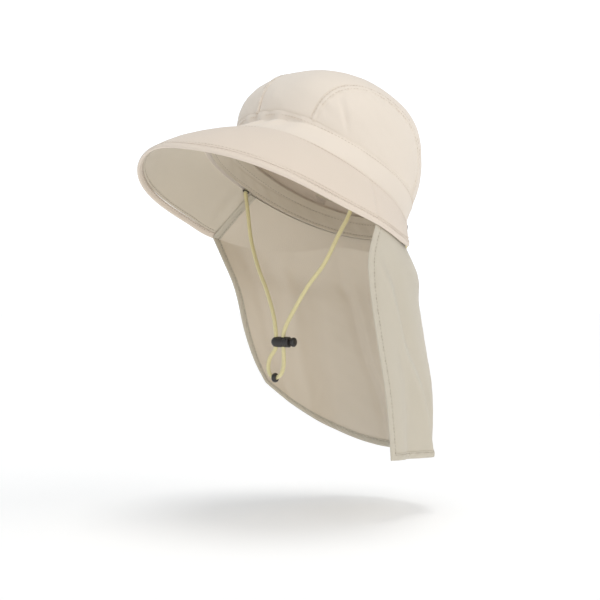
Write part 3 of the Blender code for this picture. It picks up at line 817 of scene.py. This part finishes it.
class Shader:
    """A Principled material and the nodes that feed it."""

    def __init__(self, name, roughness, **fixed):
        self.material = bpy.data.materials.new(name)
        self.material.use_nodes = True
        self.tree = self.material.node_tree
        self.surface = self.tree.nodes["Principled BSDF"]
        self.surface.inputs["Roughness"].default_value = roughness
        for socket, value in fixed.items():
            self.surface.inputs[socket.replace("_", " ")].default_value = value

    def put(self, socket, value):
        if isinstance(value, Value):
            self.tree.links.new(value.socket, socket)
        else:
            socket.default_value = value

    def node(self, kind, settings, inputs, output=0):
        made = self.tree.nodes.new(kind)
        for name, value in settings.items():
            setattr(made, name, value)
        for name, value in inputs.items():
            self.put(made.inputs[name], value)
        return Value(self, made.outputs[output])

    def mix(self, first, second, factor):
        sockets = {0: factor, 6: first, 7: second}
        return self.node("ShaderNodeMix", {"data_type": "RGBA"}, sockets, output=2)

    def noise(self, scale, detail=3.0, where="Object"):
        place = self.node("ShaderNodeTexCoord", {}, {}, output=where)
        sockets = {"Vector": place, "Scale": scale, "Detail": detail}
        return self.node("ShaderNodeTexNoise", {}, sockets, output="Fac")

    def uv(self):
        place = self.node("ShaderNodeTexCoord", {}, {}, output="UV")
        made = self.tree.nodes.new("ShaderNodeSeparateXYZ")
        self.put(made.inputs[0], place)
        return Value(self, made.outputs[0]), Value(self, made.outputs[1])

    def finish(self, colour, height=None, depth=0.0001, strength=1.0):
        self.put(self.surface.inputs["Base Color"], colour)
        if height is not None:
            sockets = {"Height": height, "Distance": depth, "Strength": strength}
            self.put(self.surface.inputs["Normal"], self.node("ShaderNodeBump", {}, sockets))
        return self.material


def rgba(colour, factor=1.0):
    """A colour with its alpha, made darker or lighter by a factor."""
    return tuple(min(part * factor, 1.0) for part in colour) + (1.0,)


def cloth_material(name, colour, roughness=0.82, pitch=0.00062, sheen=0.25):
    """Plain weave: threads as sine ridges each way along the UV map, one over the
    other, with slubs, faint mottling and long soft creases."""
    made = Shader(name, roughness, Sheen_Weight=sheen, Sheen_Roughness=0.45, Specular_IOR_Level=0.25)
    across, along = made.uv()
    turn = math.pi / pitch
    warp, weft = (across * turn).sine(), (along * turn).sine()
    weave = warp * weft * 0.5 + (warp.size() + weft.size()) * 0.35
    slub = made.noise(420.0, 2.0)
    soft = made.noise(38.0, 4.0)
    broad = made.noise(9.0, 2.0)
    tone = made.mix(rgba(colour, 0.955), rgba(colour, 1.03), broad)
    # Painted shade: the colour darkens a little where the weave is low, between the threads.
    tone = made.mix(tone, rgba(colour, 0.93), (1 - weave) * 0.10)
    height = weave * 0.5 + slub * 0.35 + soft * 2.6
    return made.finish(tone, height, depth=0.00022, strength=0.55)


def thread_material(name, colour):
    """Thread with a twist: sine ridges aslant the UV-less stitch, in Object noise."""
    made = Shader(name, 0.7, Sheen_Weight=0.2)
    twist = made.noise(1400.0, 2.0)
    # Painted shade: the colour darkens with the twist's height, in its low parts.
    return made.finish(made.mix(rgba(colour, 0.88), rgba(colour, 1.08), twist), twist, 0.00008)


def cord_material():
    """Round braid: two sets of slanted ridges that cross, from the UV map's turns round
    the cord and metres along it."""
    made = Shader("cord_braid", 0.62, Sheen_Weight=0.35, Specular_IOR_Level=0.35)
    around, along = made.uv()
    turns, pitch = 8 * 2 * math.pi, 2 * math.pi / 0.0021
    right = (around * turns + along * pitch).sine()
    left = (around * turns - along * pitch).sine()
    braid = right * left * 0.5 + 0.5
    # Painted shade: the colour darkens with the braid's height, in the grooves between its strands.
    tone = made.mix(rgba(CORD_YELLOW, 0.62), rgba(CORD_YELLOW, 1.1), braid)
    tone = made.mix(tone, rgba((0.86, 0.78, 0.50)), made.noise(160.0) * 0.45)
    return made.finish(tone, braid, depth=0.00028, strength=0.8)


def plastic_material():
    """Moulded plastic: a fine grain with a few worn, lighter patches."""
    made = Shader("moulded_plastic", 0.36, Specular_IOR_Level=0.5)
    grain, worn = made.noise(1600.0, 2.0), made.noise(90.0, 5.0)
    made.put(made.surface.inputs["Roughness"], worn * 0.3 + 0.24)
    tone = made.mix(rgba(BLACK), rgba((0.05, 0.047, 0.044)), worn * grain)
    return made.finish(tone, grain, depth=0.00006, strength=0.5)


CROWN_CLOTH = cloth_material("crown_weave", CREAM)
BRIM_TOP = cloth_material("brim_weave", BRIM_CREAM)
BRIM_UNDER = cloth_material("brim_lining_weave", KHAKI)
# The flap's cloth in two copies: darker with painted shade outside, lighter with painted light inside.
FLAP_SHADED_WEAVE = cloth_material("flap_painted_shade_weave", FLAP_BEIGE_PAINTED_SHADE)
FLAP_LIT_INSIDE_WEAVE = cloth_material("flap_inside_painted_light_weave", FLAP_INSIDE_PAINTED_LIGHT)
BAND_TAPE = cloth_material("sweatband_weave", KHAKI, roughness=0.9, pitch=0.0009)
LIGHT_THREAD = thread_material("light_thread", THREAD_CREAM)
DARK_THREAD = thread_material("dark_thread", THREAD_KHAKI)
BRAID = cord_material()
PLASTIC = plastic_material()


def finished(piece, slot, *materials, replaces=()):
    """Gives a piece its materials and body, and hides the nodes that it replaces; slot is not used."""
    if not piece.data.materials:
        for made in materials:
            piece.data.materials.append(made)
    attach(piece, BODY)
    if replaces:
        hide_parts(*replaces)
    return piece


def line_inside(piece, count):
    """The faces of a shell's inner skin and edges take its second material."""
    faces = np.zeros(len(piece.data.polygons), dtype=np.int32)
    faces[count:] = 1
    piece.data.polygons.foreach_set("material_index", faces)


# Crown


def felled_edge(distance, run):
    """A flat-felled seam beside a seam line: raised over its width, nipped at its two
    stitch rows, and puckered by a fine sine along it."""
    raised = 0.0007 * (1 - ease(distance, FELL_WIDTH - 0.0012, FELL_WIDTH))
    for row in (STITCH_INSET, FELL_WIDTH - STITCH_INSET):
        raised = raised - 0.0004 * bell(distance, row, 0.0006)
    pucker = 0.00022 * np.sin(run * 2 * math.pi / 0.0092) * bell(distance, 0.006, 0.008)
    return raised + pucker - 0.0007 * bell(distance, 0.0, 0.0008)


def side_relief(side):
    """What stands on a side panel: the felled seam, the dip into the band, and creases."""

    def relief(u, v, place, along, up):
        seam = up[-1] - up
        height = felled_edge(seam, along) - 0.0006 * bell(up, 0.0, 0.0010)
        crease = bell(u, 0.16 + 0.10 * (1 - v), 0.018) * ease(v, 0.02, 0.3) * (1 - ease(v, 0.55, 0.9))
        dent = bell(u, 0.47, 0.12) * bell(v, 0.35, 0.30)
        height = height - 0.0013 * crease - 0.0016 * dent
        height = height + 0.0009 * crumple(place, 0.055, 1.0 + side) * bell(v, 0.45, 0.45)
        return height + 0.00035 * crumple(place, 0.019, 5.0)

    return relief


def centre_relief(u, v, place, along, up):
    """What stands on the centre panel: it dives into both seams and the band."""
    edge = np.minimum(along, along[:, -1:] - along)
    height = -0.0008 * bell(edge, 0.0, 0.0009) - 0.0007 * bell(up, 0.0, 0.0010)
    front = 1 - ease(up, 0.02, 0.07)
    height = height + 0.0010 * crumple(place, 0.042, 7.0) * front * ease(up, 0.0, 0.012)
    return height + 0.0008 * crumple(place, 0.070, 2.0) + 0.0003 * crumple(place, 0.021, 4.0)


def wall_under(relief, thickness):
    """A wall's inner skin: its outer one less a thickness."""

    def under(*arguments):
        return relief(*arguments) - thickness

    return under


def make_crown():
    alongs = np.concatenate([np.linspace(0.001, 0.1, 24)[:-1], np.linspace(0.1, 0.9, 110)])
    alongs = np.concatenate([alongs, np.linspace(0.9, 0.999, 24)[1:]])
    ups = 1 - np.linspace(1, 0, 64) ** 1.25
    for side, name in ((1, "crown_side_left"), (-1, "crown_side_right")):
        relief = side_relief(side)
        if side > 0:
            outer, inner = relief, wall_under(relief, CLOTH)
        else:
            outer = lambda *given, relief=relief: -relief(*given)
            inner = lambda *given, relief=relief: CLOTH - relief(*given)
        panel = shell(f"{name}_cloth", side_panel(side), alongs, ups, outer, inner)
        finished(panel, "crown_cloth", CROWN_CLOTH, replaces=(name,))
    acrosses = (1 - np.cos(np.linspace(0, math.pi, 64))) / 2
    rows = np.linspace(0, 1, 190)
    panel = shell(
        "crown_centre_cloth",
        centre_panel,
        acrosses * 1.010 - 0.005,
        rows,
        centre_relief,
        wall_under(centre_relief, CLOTH),
    )
    finished(panel, "crown_cloth", CROWN_CLOTH, replaces=("crown_centre_panel",))


def gathers(u, v, place, along, up):
    """The band: gathers in front, soft swells behind, and a groove along both edges."""
    front = bell((u + 180.0) % 360.0 - 180.0, -2.0, 42.0)
    folds = np.sin(np.radians(u) * 21.0 + 0.9 * np.sin(np.radians(u) * 5.0)) * bell(v, 0.55, 0.42)
    height = 0.0015 * folds * front + 0.0006 * crumple(place, 0.040, 6.0) * bell(v, 0.5, 0.4)
    back = bell(u % 360.0, 180.0, 30.0)
    height = height + 0.0009 * np.sin(np.radians(u) * 34.0) * back * bell(v, 0.5, 0.45)
    return height - 0.0005 * bell(up - up[-1], 0.0, 0.0016)


def make_band():
    ups = np.linspace(-0.085, 1.02, 28)
    bearings = np.arange(0.0, 360.0, 1.0)
    strip = shell("crown_band_cloth", band, bearings, ups, gathers, wall_under(gathers, CLOTH), closed=True)
    finished(strip, "crown_cloth", CROWN_CLOTH, replaces=("crown_band",))


def seam_height(side):
    """The length of a side panel from band to seam, as a function of how far along."""
    alongs, ups = np.meshgrid(np.linspace(0, 1, 61), np.linspace(0, 1, 41))
    heights = arc_lengths(side_panel(side)(alongs, ups), 0)[-1]
    return lambda at: np.interp(at, np.linspace(0, 1, 61), heights)


def make_crown_stitches():
    paths = []
    for side in (1, -1):
        height = seam_height(side)
        for inset, first in ((STITCH_INSET, 0.03), (FELL_WIDTH - STITCH_INSET, 0.09)):
            along = np.linspace(first, 1 - first, 500)
            lift = side * 0.00045
            paths.append(sewn_path(side_panel(side), along, 1 - inset / height(along), lift))
    bearings = np.linspace(0, 360, 900)
    paths.append(sewn_path(band, bearings, np.full(900, 1 - 0.10), 0.0001))
    stitches("crown_stitches", paths, LIGHT_THREAD)
    finished(bpy.data.objects["crown_stitches"], "crown_cloth")


def make_seam_tapes():
    """Tape over the crown's seams inside: a strip along each seam, raised in its middle."""
    for side, name in ((1, "left"), (-1, "right")):

        def tape(along, across, side=side):
            lean = 6.0 + 168.0 * along
            share = seam_share(side, lean) + (across - 0.5) * 0.13
            return to_world(crown(*crown_arch(share, lean)))

        def under(u, v, place, along, up):
            height = CLOTH + 0.0004 + 0.0005 * np.sin(math.pi * v) + 0.0002 * crumple(place, 0.02, 8.0)
            return height + 0.0003 * (bell(v, 0.18, 0.06) + bell(v, 0.82, 0.06)) * -1

        def lower(*given):
            return under(*given) + 0.0007

        strip = shell(
            f"seam_tape_{name}", tape, np.linspace(0, 1, 150), np.linspace(0, 1, 13), under, lower
        )
        finished(strip, "sweatband_cloth", BAND_TAPE)


# Sweatband and eyelets


def make_sweatband():
    surface = inside_band(CLOTH + CASING + SWEATBAND_CLOTH / 2)
    bearings = np.arange(0.0, 360.0, 1.2)
    low, high = -SWEATBAND_DROP / BAND_HEIGHT, SWEATBAND_TOP / BAND_HEIGHT
    ups = np.linspace(low, high, 22)

    def face(u, v, place, along, up):
        nip = bell(up, 0.0030, 0.0007) + bell(up, 0.0150, 0.0007)
        ruck = 0.00016 * np.sin(along * 2 * math.pi / 0.017 + crumple(place, 0.06, 2.0))
        return -0.0006 + 0.0004 * nip - ruck * bell(up, 0.009, 0.006)

    def back(*given):
        return face(*given) + SWEATBAND_CLOTH

    strip = shell("sweatband_tape", surface, bearings, ups, back, face, closed=True)
    finished(strip, "sweatband_cloth", BAND_TAPE, replaces=("sweatband",))
    around = np.linspace(0, 360, 900)
    span = high - low
    rows = (low + span * 0.0030 / 0.0226, low + span * 0.0150 / 0.0226)
    paths = [sewn_path(surface, around, np.full(900, row), -0.00045) for row in rows]
    finished(stitches("sweatband_stitches", paths, DARK_THREAD), "sweatband_cloth")


def make_eyelets():
    """Eyelets: a flat ring with a rolled lip, on the frame's own ring and its hole."""
    axis = to_world(np.array([0.0, 0.0, 1.0]))
    for side, name in ((1, "eyelet_left"), (-1, "eyelet_right")):
        roll = [(math.cos(a), math.sin(a)) for a in np.radians(np.arange(0, 360, 30))]
        profile = [(0.0005 * x, 0.0027 + 0.00058 * y) for x, y in roll]
        mesh = turned(f"{name}_ring", profile)
        height = -(SWEATBAND_DROP + 2 * GAP + 0.0006)
        placed(mesh, eyelet_place(side, height), axes_along(axis))
        mesh.shade_smooth()
        finished(link(f"{name}_ring", mesh), "black_plastic", PLASTIC, replaces=(name,))


# Brim


def brim_top(u, v, place, along, up):
    """The brim's upper skin: a rolled seam at the opening, grooves at its stitch rows,
    the end seams across it, and a faint ripple of the stiffening."""
    edge = up[-1] - up
    height = BRIM_CLOTH / 2 - 0.0003 * bell(up, 0.0, 0.0008) - 0.00035 * bell(up, 0.0044, 0.0006)
    height = height + 0.0004 * bell(up, 0.0032, 0.0022) - 0.0003 * bell(edge, 0.0020, 0.0006)
    for side in (-1, 1):
        height = height - 0.0006 * bell(u, side * BRIM_END_SEAM, 0.55)
        height = height + 0.0003 * bell(u, side * (BRIM_END_SEAM - 2.0), 1.4)
    height = height + 0.0002 * crumple(place, 0.024, 3.0)
    return 0.0006 * crumple(place, 0.085, 9.0) - height


def brim_under(u, v, place, along, up):
    """The brim's lower skin: flat, with grooves at its stitch rows."""
    edge = up[-1] - up
    height = BRIM_CLOTH / 2 - 0.0003 * bell(edge, 0.0020, 0.0006) - 0.0004 * bell(up, 0.0, 0.0010)
    pull = 0.0011 * np.sin((u + 3 * v) * 0.55) * bell(np.abs(u), 92.0, 11.0) * bell(v, 0.45, 0.35)
    return height + pull + 0.0006 * crumple(place, 0.085, 9.0)


def bound_edge(sign):
    """One face of the binding: full over its width and rounded to the free edge."""

    def face(u, v, place, along, up):
        full = np.sqrt(np.maximum(1 - ease(v, 0.55, 1.02) ** 2, 0.004))
        start = 0.72 + 0.28 * ease(v, 0.0, 0.16)
        pucker = 0.00014 * np.sin(along * 2 * math.pi / 0.0062) * bell(v, 0.2, 0.3)
        return sign * (BINDING_CLOTH / 2 * full * start + pucker) + 0.0006 * crumple(place, 0.085, 9.0)

    return face


def make_brim():
    bearings = np.linspace(-BRIM_TAIL_END, BRIM_TAIL_END, 361)
    rows = np.linspace(0, 1, 48)
    body = shell("brim_cloth", brim_body, bearings, rows, brim_under, brim_top)
    body.data.materials.append(BRIM_UNDER)
    body.data.materials.append(BRIM_TOP)
    line_inside(body, (len(bearings) - 1) * (len(rows) - 1))
    finished(body, "brim_cloth", replaces=("brim",))
    strip = shell(
        "brim_binding_tape", brim_strip, bearings, np.linspace(0, 1, 14), bound_edge(1), bound_edge(-1)
    )
    finished(strip, "brim_cloth", BRIM_TOP, replaces=("brim_binding",))


def make_brim_stitches():
    bearings = np.linspace(-BRIM_TAIL_END + 1, BRIM_TAIL_END - 1, 1500)
    width = BINDING_WIDTH / (1 - binding_share(bearings))
    length = width * binding_share(bearings)
    top, under = -(BRIM_CLOTH / 2 + 0.0001), BRIM_CLOTH / 2
    above = [sewn_path(brim_body, bearings, 1 - 0.0020 / length, top)]
    above += [sewn_path(brim_body, bearings, 0.0044 / length, top)]
    above += [sewn_path(brim_strip, bearings, np.full(1500, 0.22), -BINDING_CLOTH / 2 * 0.98)]
    below = [sewn_path(brim_body, bearings, 1 - 0.0020 / length, under)]
    below += [sewn_path(brim_strip, bearings, np.full(1500, 0.22), BINDING_CLOTH / 2 * 0.98)]
    shares = np.linspace(0.04, 0.98, 200)
    for side in (-1, 1):
        place = np.full(200, side * (BRIM_END_SEAM - 1.8))
        above.append(sewn_path(brim_body, place, shares, top))
    finished(stitches("brim_top_stitches", above, LIGHT_THREAD), "brim_cloth")
    finished(stitches("brim_under_stitches", below, DARK_THREAD), "brim_cloth")


# Flap


def flap_face(u, v, place, along, up):
    """The flap's outer face: fine crumples that grow away from the hem and brim."""
    free = ease(v, 0.10, 0.25)
    return FLAP_CLOTH / 2 + 0.00035 * crumple(place, 0.022, 4.0) * free


def hem_face(sign):
    """One face of the hem: rounded at the free edge, nipped at its stitch row."""

    def face(u, v, place, along, up):
        full = np.sqrt(np.maximum(1 - (1 - ease(v, -0.02, 0.42)) ** 2, 0.01))
        nip = 0.00035 * bell(v, 0.80, 0.10)
        pucker = 0.00022 * np.sin(along * 2 * math.pi / 0.0105) * bell(v, 0.55, 0.4)
        return sign * (FLAP_HEM_CLOTH / 2 * full - nip) + pucker

    return face


def make_flap():
    acrosses = np.linspace(0, 1, 201)
    drops = np.concatenate([np.linspace(0, 0.16, 30)[:-1], np.linspace(0.16, 1, 170)])
    cloth = shell(
        "neck_flap_cloth",
        flap_body,
        acrosses,
        drops,
        flap_face,
        wall_under(flap_face, FLAP_CLOTH),
    )
    # Towards the neck the lighter copy, painted light; outside and edges the darker, painted shade.
    cloth.data.materials.append(FLAP_LIT_INSIDE_WEAVE)
    cloth.data.materials.append(FLAP_SHADED_WEAVE)
    line_inside(cloth, (len(acrosses) - 1) * (len(drops) - 1))
    finished(cloth, "flap_cloth", replaces=("neck_flap",))
    alongs = np.concatenate([np.linspace(0, 1, 220), np.linspace(1, 2, 260)[1:], np.linspace(2, 3, 220)[1:]])
    strip = shell("flap_hem_fold", hem_strip, alongs, np.linspace(0, 1, 13), hem_face(1), hem_face(-1))
    # The hem takes the flap's darker copy, with its painted shade.
    finished(strip, "flap_cloth", FLAP_SHADED_WEAVE, replaces=("flap_hem",))
    along = np.concatenate([np.linspace(0.05, 1, 700), np.linspace(1, 2, 900)[1:], np.linspace(2, 2.95, 700)[1:]])
    rows = [sewn_path(hem_strip, along, np.full(len(along), 0.80), side * 0.00095) for side in (1, -1)]
    finished(stitches("flap_hem_stitches", rows, DARK_THREAD), "flap_cloth")
    return cloth, strip


# Cords, locks and bead


def smooth_route(points, step):
    """Even points along a smooth curve through a route."""
    route = np.asarray(points, float)
    gaps = np.sqrt(np.linalg.norm(np.diff(route, axis=0), axis=1))
    places = np.concatenate([[0.0], np.cumsum(gaps)])
    fine = np.linspace(0.0, places[-1], 6000)
    line = curve_through(places.tolist(), list(route), fine[:, None])
    length = arc_lengths(line, 0)[-1]
    return resampled(line, np.linspace(0.0, length, round(length / step) + 1))


def lock_axes(turn):
    """A lock's barrel and strand directions."""
    if turn == "chin":
        yaw = math.radians(CHIN_LOCK_YAW)
        return np.array([math.cos(yaw), math.sin(yaw), 0.0]), np.array([0.0, 0.0, 1.0])
    return np.array([1.0, 0.0, 0.0]), to_world(np.array([0.0, 1.0, 0.0]))


def rear_exit(along, out):
    """A point on a strand of the rear cord: along X, and out from the band's outside."""
    bearing, up = np.array(180.0), np.array(REAR_EXIT_HEIGHT / BAND_HEIGHT)
    back = inside_band(0.0)(bearing, up)
    return back + np.array([along, 0.0, 0.0]) + lock_axes("rear")[1] * out


def lock_holes():
    """Where a lock's two strands pass, along its barrel."""
    return LOCK_HOLE_SHIFT - LOCK_HOLE_SPREAD / 2, LOCK_HOLE_SHIFT + LOCK_HOLE_SPREAD / 2


def chin_frame(along, down):
    """A point in the chin lock's frame: along its barrel and down from its middle."""
    barrel, up = lock_axes("chin")
    return np.asarray(CHIN_LOCK_PLACE) + barrel * along - up * down


def chin_route():
    """From the back of the casing round the left to its eyelet, down to the lock, round
    the loop, and back the same way on the right."""
    start = 180.0 - math.degrees(CORD_END_GAP / HEAD_HALF_WIDTH)
    bend = ((94.0, 0.0070), (90.0, 0.0066), (88.0, 0.0045), (87.0, 0.0018), (87.0, -0.0008))
    bearings = [start, *range(170, 99, -10)]
    casing = [(bearing, CHANNEL_HEIGHT) for bearing in bearings] + list(bend)
    left = [channel(bearing, height) for bearing, height in casing]
    left += [eyelet_place(1, -0.0024), eyelet_place(1, -0.0044)]
    right = [eyelet_place(-1, -0.0044), eyelet_place(-1, -0.0024)]
    right += [channel(-bearing, height) for bearing, height in reversed(casing)]
    loop = [chin_frame(along / 1000, down / 1000) for along, down in CHIN_LOOP]
    left += [np.array(point) / 1000 for point in LEFT_STRAND]
    right = [np.array(point) / 1000 for point in reversed(RIGHT_STRAND)] + right
    holes = lock_holes()
    into = [chin_frame(holes[1], height) for height in (-0.0065, 0.0)]
    out_of = [chin_frame(holes[0], height) for height in (0.0, -0.0065)]
    return left + into + loop + out_of + right


def rear_route():
    """Out of the band, through the rear lock, round its loop and back."""
    barrel, out = lock_axes("rear")
    middle = rear_exit(0.0, REAR_LOCK_STANDOFF + LOCK_RADIUS)
    holes = lock_holes()
    inside = -CLOTH - 0.0010
    loop = [
        middle + barrel * along / 1000 + out * away / 1000 + np.array([0.0, 0.0, up / 1000])
        for along, away, up in REAR_LOOP
    ]
    first = [rear_exit(holes[1], inside), rear_exit(holes[1], REAR_LOCK_STANDOFF / 2)]
    last = [rear_exit(holes[0], REAR_LOCK_STANDOFF / 2), rear_exit(holes[0], inside)]
    return first + loop + last


def cord_tube(name, line):
    """A round tube along a line of points, each ring turned with the line's own plane
    carried along it. The UV map is turns round the cord and metres along it."""
    sides = 16
    ahead = unit(np.gradient(line, axis=0))
    second = np.empty_like(line)
    second[0] = axes_along(ahead[0])[1]
    for i in range(1, len(line)):
        kept = second[i - 1] - ahead[i] * (second[i - 1] @ ahead[i])
        second[i] = kept / np.linalg.norm(kept)
    third = np.cross(ahead, second)
    angle = np.arange(sides) * 2 * math.pi / sides
    ring = second[:, None] * np.cos(angle)[:, None] + third[:, None] * np.sin(angle)[:, None]
    travelled = arc_lengths(line, 0)
    points = line[:, None] + ring * CORD / 2
    index = np.arange(points.shape[0] * sides).reshape(-1, sides)
    index = np.concatenate([index, index[:, :1]], axis=1)
    slots = np.arange(index.size).reshape(index.shape)
    turn, far = np.meshgrid(np.arange(sides + 1) / sides, travelled)
    uv = np.stack([turn, far], axis=-1).reshape(-1, 2)
    faces = [quads(index)]
    corners = [quads(slots)]
    for row, order in ((0, -1), (-1, 1)):
        for k in range(1, sides - 1, 2):
            picked = np.array([0, k, k + 1, k + 2])[::order]
            faces.append(index[row][picked][None])
            corners.append(slots[row][picked][None])
    faces, corners = np.concatenate(faces), np.concatenate(corners)
    made = link(name, mesh_of(name, points, faces, uv[corners], sharp=60.0))
    made.data.materials.append(BRAID)
    return made


def lock_body(name, place, turn):
    """A barrel lock: rounded at one end, ribbed round its other one, drilled for its two
    strands and its button's stem, with a flat thumb pad's worth of fine ribs."""
    end = LOCK_LENGTH / 2
    profile = [
        (-end + LOCK_RADIUS * (1 - math.cos(a)), LOCK_RADIUS * math.sin(a))
        for a in np.radians(np.linspace(0, 90, 12))
    ]
    for rib in np.linspace(0.0035, 0.0075, 3):
        profile += [(rib - 0.0005, LOCK_RADIUS), (rib, LOCK_RADIUS - 0.0003), (rib + 0.0005, LOCK_RADIUS)]
    bore_end = end - BUTTON_BORE_DEPTH
    profile += [(end - 0.0006, LOCK_RADIUS), (end - 0.0002, LOCK_RADIUS - 0.0003)]
    profile += [(end, LOCK_RADIUS - 0.0007), (end, BUTTON_BORE), (bore_end, BUTTON_BORE), (bore_end, 0.0)]
    barrel, strands = lock_axes(turn)
    axes = axes_along(barrel)
    body = link(name, placed(turned(name, profile), place, axes))
    for number, along in enumerate(lock_holes()):
        length = 2 * LOCK_RADIUS
        shape = [(-length, 0.0), (-length, LOCK_HOLE), (length, LOCK_HOLE), (length, 0.0)]
        cutter_mesh = turned(f"{name}_drill_{number}", shape, sides=32)
        middle = np.asarray(place) + barrel * along
        cutter = link(f"{name}_drill_{number}", placed(cutter_mesh, middle, axes_along(strands)))
        cut = body.modifiers.new(cutter.name, "BOOLEAN")
        cut.operation = "DIFFERENCE"
        cut.object = cutter
    graph = bpy.context.evaluated_depsgraph_get()
    body.data = bpy.data.meshes.new_from_object(body.evaluated_get(graph))
    body.modifiers.clear()
    for number in range(2):
        bpy.data.objects.remove(bpy.data.objects[f"{name}_drill_{number}"], do_unlink=True)
    body.data.shade_smooth()
    body.data.set_sharp_from_angle(angle=math.radians(35.0))
    body.data.materials.clear()
    return body


def lock_button(name, place, turn, body_name):
    """The button: a stem and a cap whose face is domed and whose rim is milled."""
    end = LOCK_LENGTH / 2
    cap = end + BUTTON_TRAVEL + GAP
    radius, length = BUTTON_CAP_RADIUS, BUTTON_CAP_LENGTH
    profile = [(end - BUTTON_INSERT, 0.0), (end - BUTTON_INSERT, BUTTON_STEM), (cap, BUTTON_STEM)]
    profile += [(cap, radius - 0.0004), (cap + 0.0003, radius), (cap + length * 0.36, radius)]
    profile += [
        (cap + length * (0.36 + 0.64 * math.sin(a)), radius * (1 - 0.92 * (1 - math.cos(a)) ** 0.9))
        for a in np.radians(np.linspace(8, 84, 9))
    ]
    profile.append((cap + length, 0.0))
    mesh = placed(turned(name, profile), place, axes_along(lock_axes(turn)[0]))
    mesh.shade_smooth()
    mesh.set_sharp_from_angle(angle=math.radians(40.0))
    made = link(name, mesh)
    made.data.materials.append(PLASTIC)
    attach(made, body_name)
    return made


def make_cords():
    chin = cord_tube("chin_cord_braid", chin_line := smooth_route(chin_route(), CORD_FINE_STEP))
    rear = cord_tube("rear_cord_braid", rear_line := smooth_route(rear_route(), CORD_FINE_STEP))
    finished(chin, "cord", replaces=("chin_cord",))
    finished(rear, "cord", replaces=("rear_cord",))
    rear_place = rear_exit(0.0, REAR_LOCK_STANDOFF + LOCK_RADIUS)
    locks = {}
    for turn, place in (("chin", np.asarray(CHIN_LOCK_PLACE)), ("rear", rear_place)):
        body = lock_body(f"{turn}_lock_barrel", place, turn)
        finished(body, "black_plastic", PLASTIC, replaces=(f"{turn}_lock",))
        button = lock_button(f"{turn}_lock_cap", place, turn, f"{turn}_button")
        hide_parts(f"{turn}_lock_button")
        locks[turn] = [body, button]
    half, radius = BEAD_LENGTH / 2, BEAD_RADIUS
    around = np.radians(np.linspace(-62, 62, 17))
    outside = [(half * math.sin(a) / math.sin(around[-1]), radius * math.cos(a) ** 0.6) for a in around]
    profile = [(-half, BEAD_HOLE), *outside, (half, BEAD_HOLE)]
    mesh = placed(turned("cord_bead_drum", profile), chin_frame(BEAD_ALONG, BEAD_DROP), axes_along(lock_axes("chin")[0]))
    mesh.shade_smooth()
    mesh.set_sharp_from_angle(angle=math.radians(45.0))
    bead = finished(link("cord_bead_drum", mesh), "black_plastic", PLASTIC, replaces=("cord_bead",))
    for piece, line, pieces in ((chin, chin_line, [*locks["chin"], bead]), (rear, rear_line, locks["rear"])):
        float(arc_lengths(line, 0)[-1])
        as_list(pieces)


# Stage


def make_camera():
    """The camera, level and at the photograph's angle."""
    azimuth = math.radians(CAMERA_AZIMUTH)
    back = Vector((math.sin(azimuth), -math.cos(azimuth), 0.0))
    right = Vector((math.cos(azimuth), math.sin(azimuth), 0.0))
    target = right * CAMERA_TARGET_ACROSS + Vector((0.0, 0.0, CAMERA_TARGET_UP))
    data = bpy.data.cameras.new("camera")
    data.lens = CAMERA_LENS
    data.sensor_width = SENSOR
    camera = bpy.data.objects.new("camera", data)
    camera.location = target + back * CAMERA_DISTANCE
    camera.rotation_euler = back.to_track_quat("Z", "Y").to_euler()
    bpy.context.scene.collection.objects.link(camera)
    bpy.context.scene.camera = camera


def make_floor():
    """A pale floor, far wider than the view."""
    half = 14.0
    corners = [(-half, -half), (half, -half), (half, half), (-half, half)]
    mesh = bpy.data.meshes.new("floor")
    mesh.from_pydata([(x, y, FLOOR_HEIGHT) for x, y in corners], [], [(0, 1, 2, 3)])
    floor = bpy.data.objects.new("floor", mesh)
    bpy.context.scene.collection.objects.link(floor)
    white = (1.0, 1.0, 1.0, 1.0)
    made = Shader("pale_floor", 0.9, Emission_Color=white, Emission_Strength=FLOOR_GLOW)
    mesh.materials.append(made.finish(rgba((0.93, 0.93, 0.93))))


def make_sun(name, azimuth, elevation, strength, softness, colour):
    """A sun at an azimuth and elevation, whose angle across sets how soft it is."""
    data = bpy.data.lights.new(name, "SUN")
    data.energy = strength
    data.angle = math.radians(softness)
    data.color = colour
    light = bpy.data.objects.new(name, data)
    angle, rise = math.radians(azimuth), math.radians(elevation)
    level = math.cos(rise)
    way = Vector((math.sin(angle) * level, -math.cos(angle) * level, math.sin(rise)))
    light.location = way * 2.0
    light.rotation_euler = way.to_track_quat("Z", "Y").to_euler()
    bpy.context.scene.collection.objects.link(light)


def make_lights():
    """Four suns, and a sky that is dim for light and white where the camera sees it."""
    make_sun("key", 118.0, 38.0, 0.52, 45.0, (1.0, 0.93, 0.84))
    make_sun("top", 60.0, 84.0, 0.85, 26.0, (1.0, 0.98, 0.95))
    make_sun("front", 68.0, 7.0, 0.72, 40.0, (1.0, 0.975, 0.94))
    make_sun("cool", -38.0, 22.0, 0.14, 50.0, (0.62, 0.80, 1.0))
    world = bpy.data.worlds.new("studio")
    world.use_nodes = True
    tree = world.node_tree
    background = tree.nodes["Background"]
    background.inputs["Color"].default_value = (0.93, 0.965, 1.0, 1.0)
    seen = tree.nodes.new("ShaderNodeLightPath")
    strength = tree.nodes.new("ShaderNodeMath")
    strength.operation = "MULTIPLY_ADD"
    strength.inputs[1].default_value = SKY_SEEN - SKY
    strength.inputs[2].default_value = SKY
    tree.links.new(seen.outputs["Is Camera Ray"], strength.inputs[0])
    tree.links.new(strength.outputs[0], background.inputs["Strength"])
    bpy.context.scene.world = world
    bpy.context.scene.view_settings.view_transform = "Standard"


make_camera()
make_floor()
make_lights()
make_cords()
make_crown()
make_band()
make_seam_tapes()
make_crown_stitches()
make_sweatband()
make_eyelets()
make_brim()
make_brim_stitches()
flap_cloth, flap_hem = make_flap()
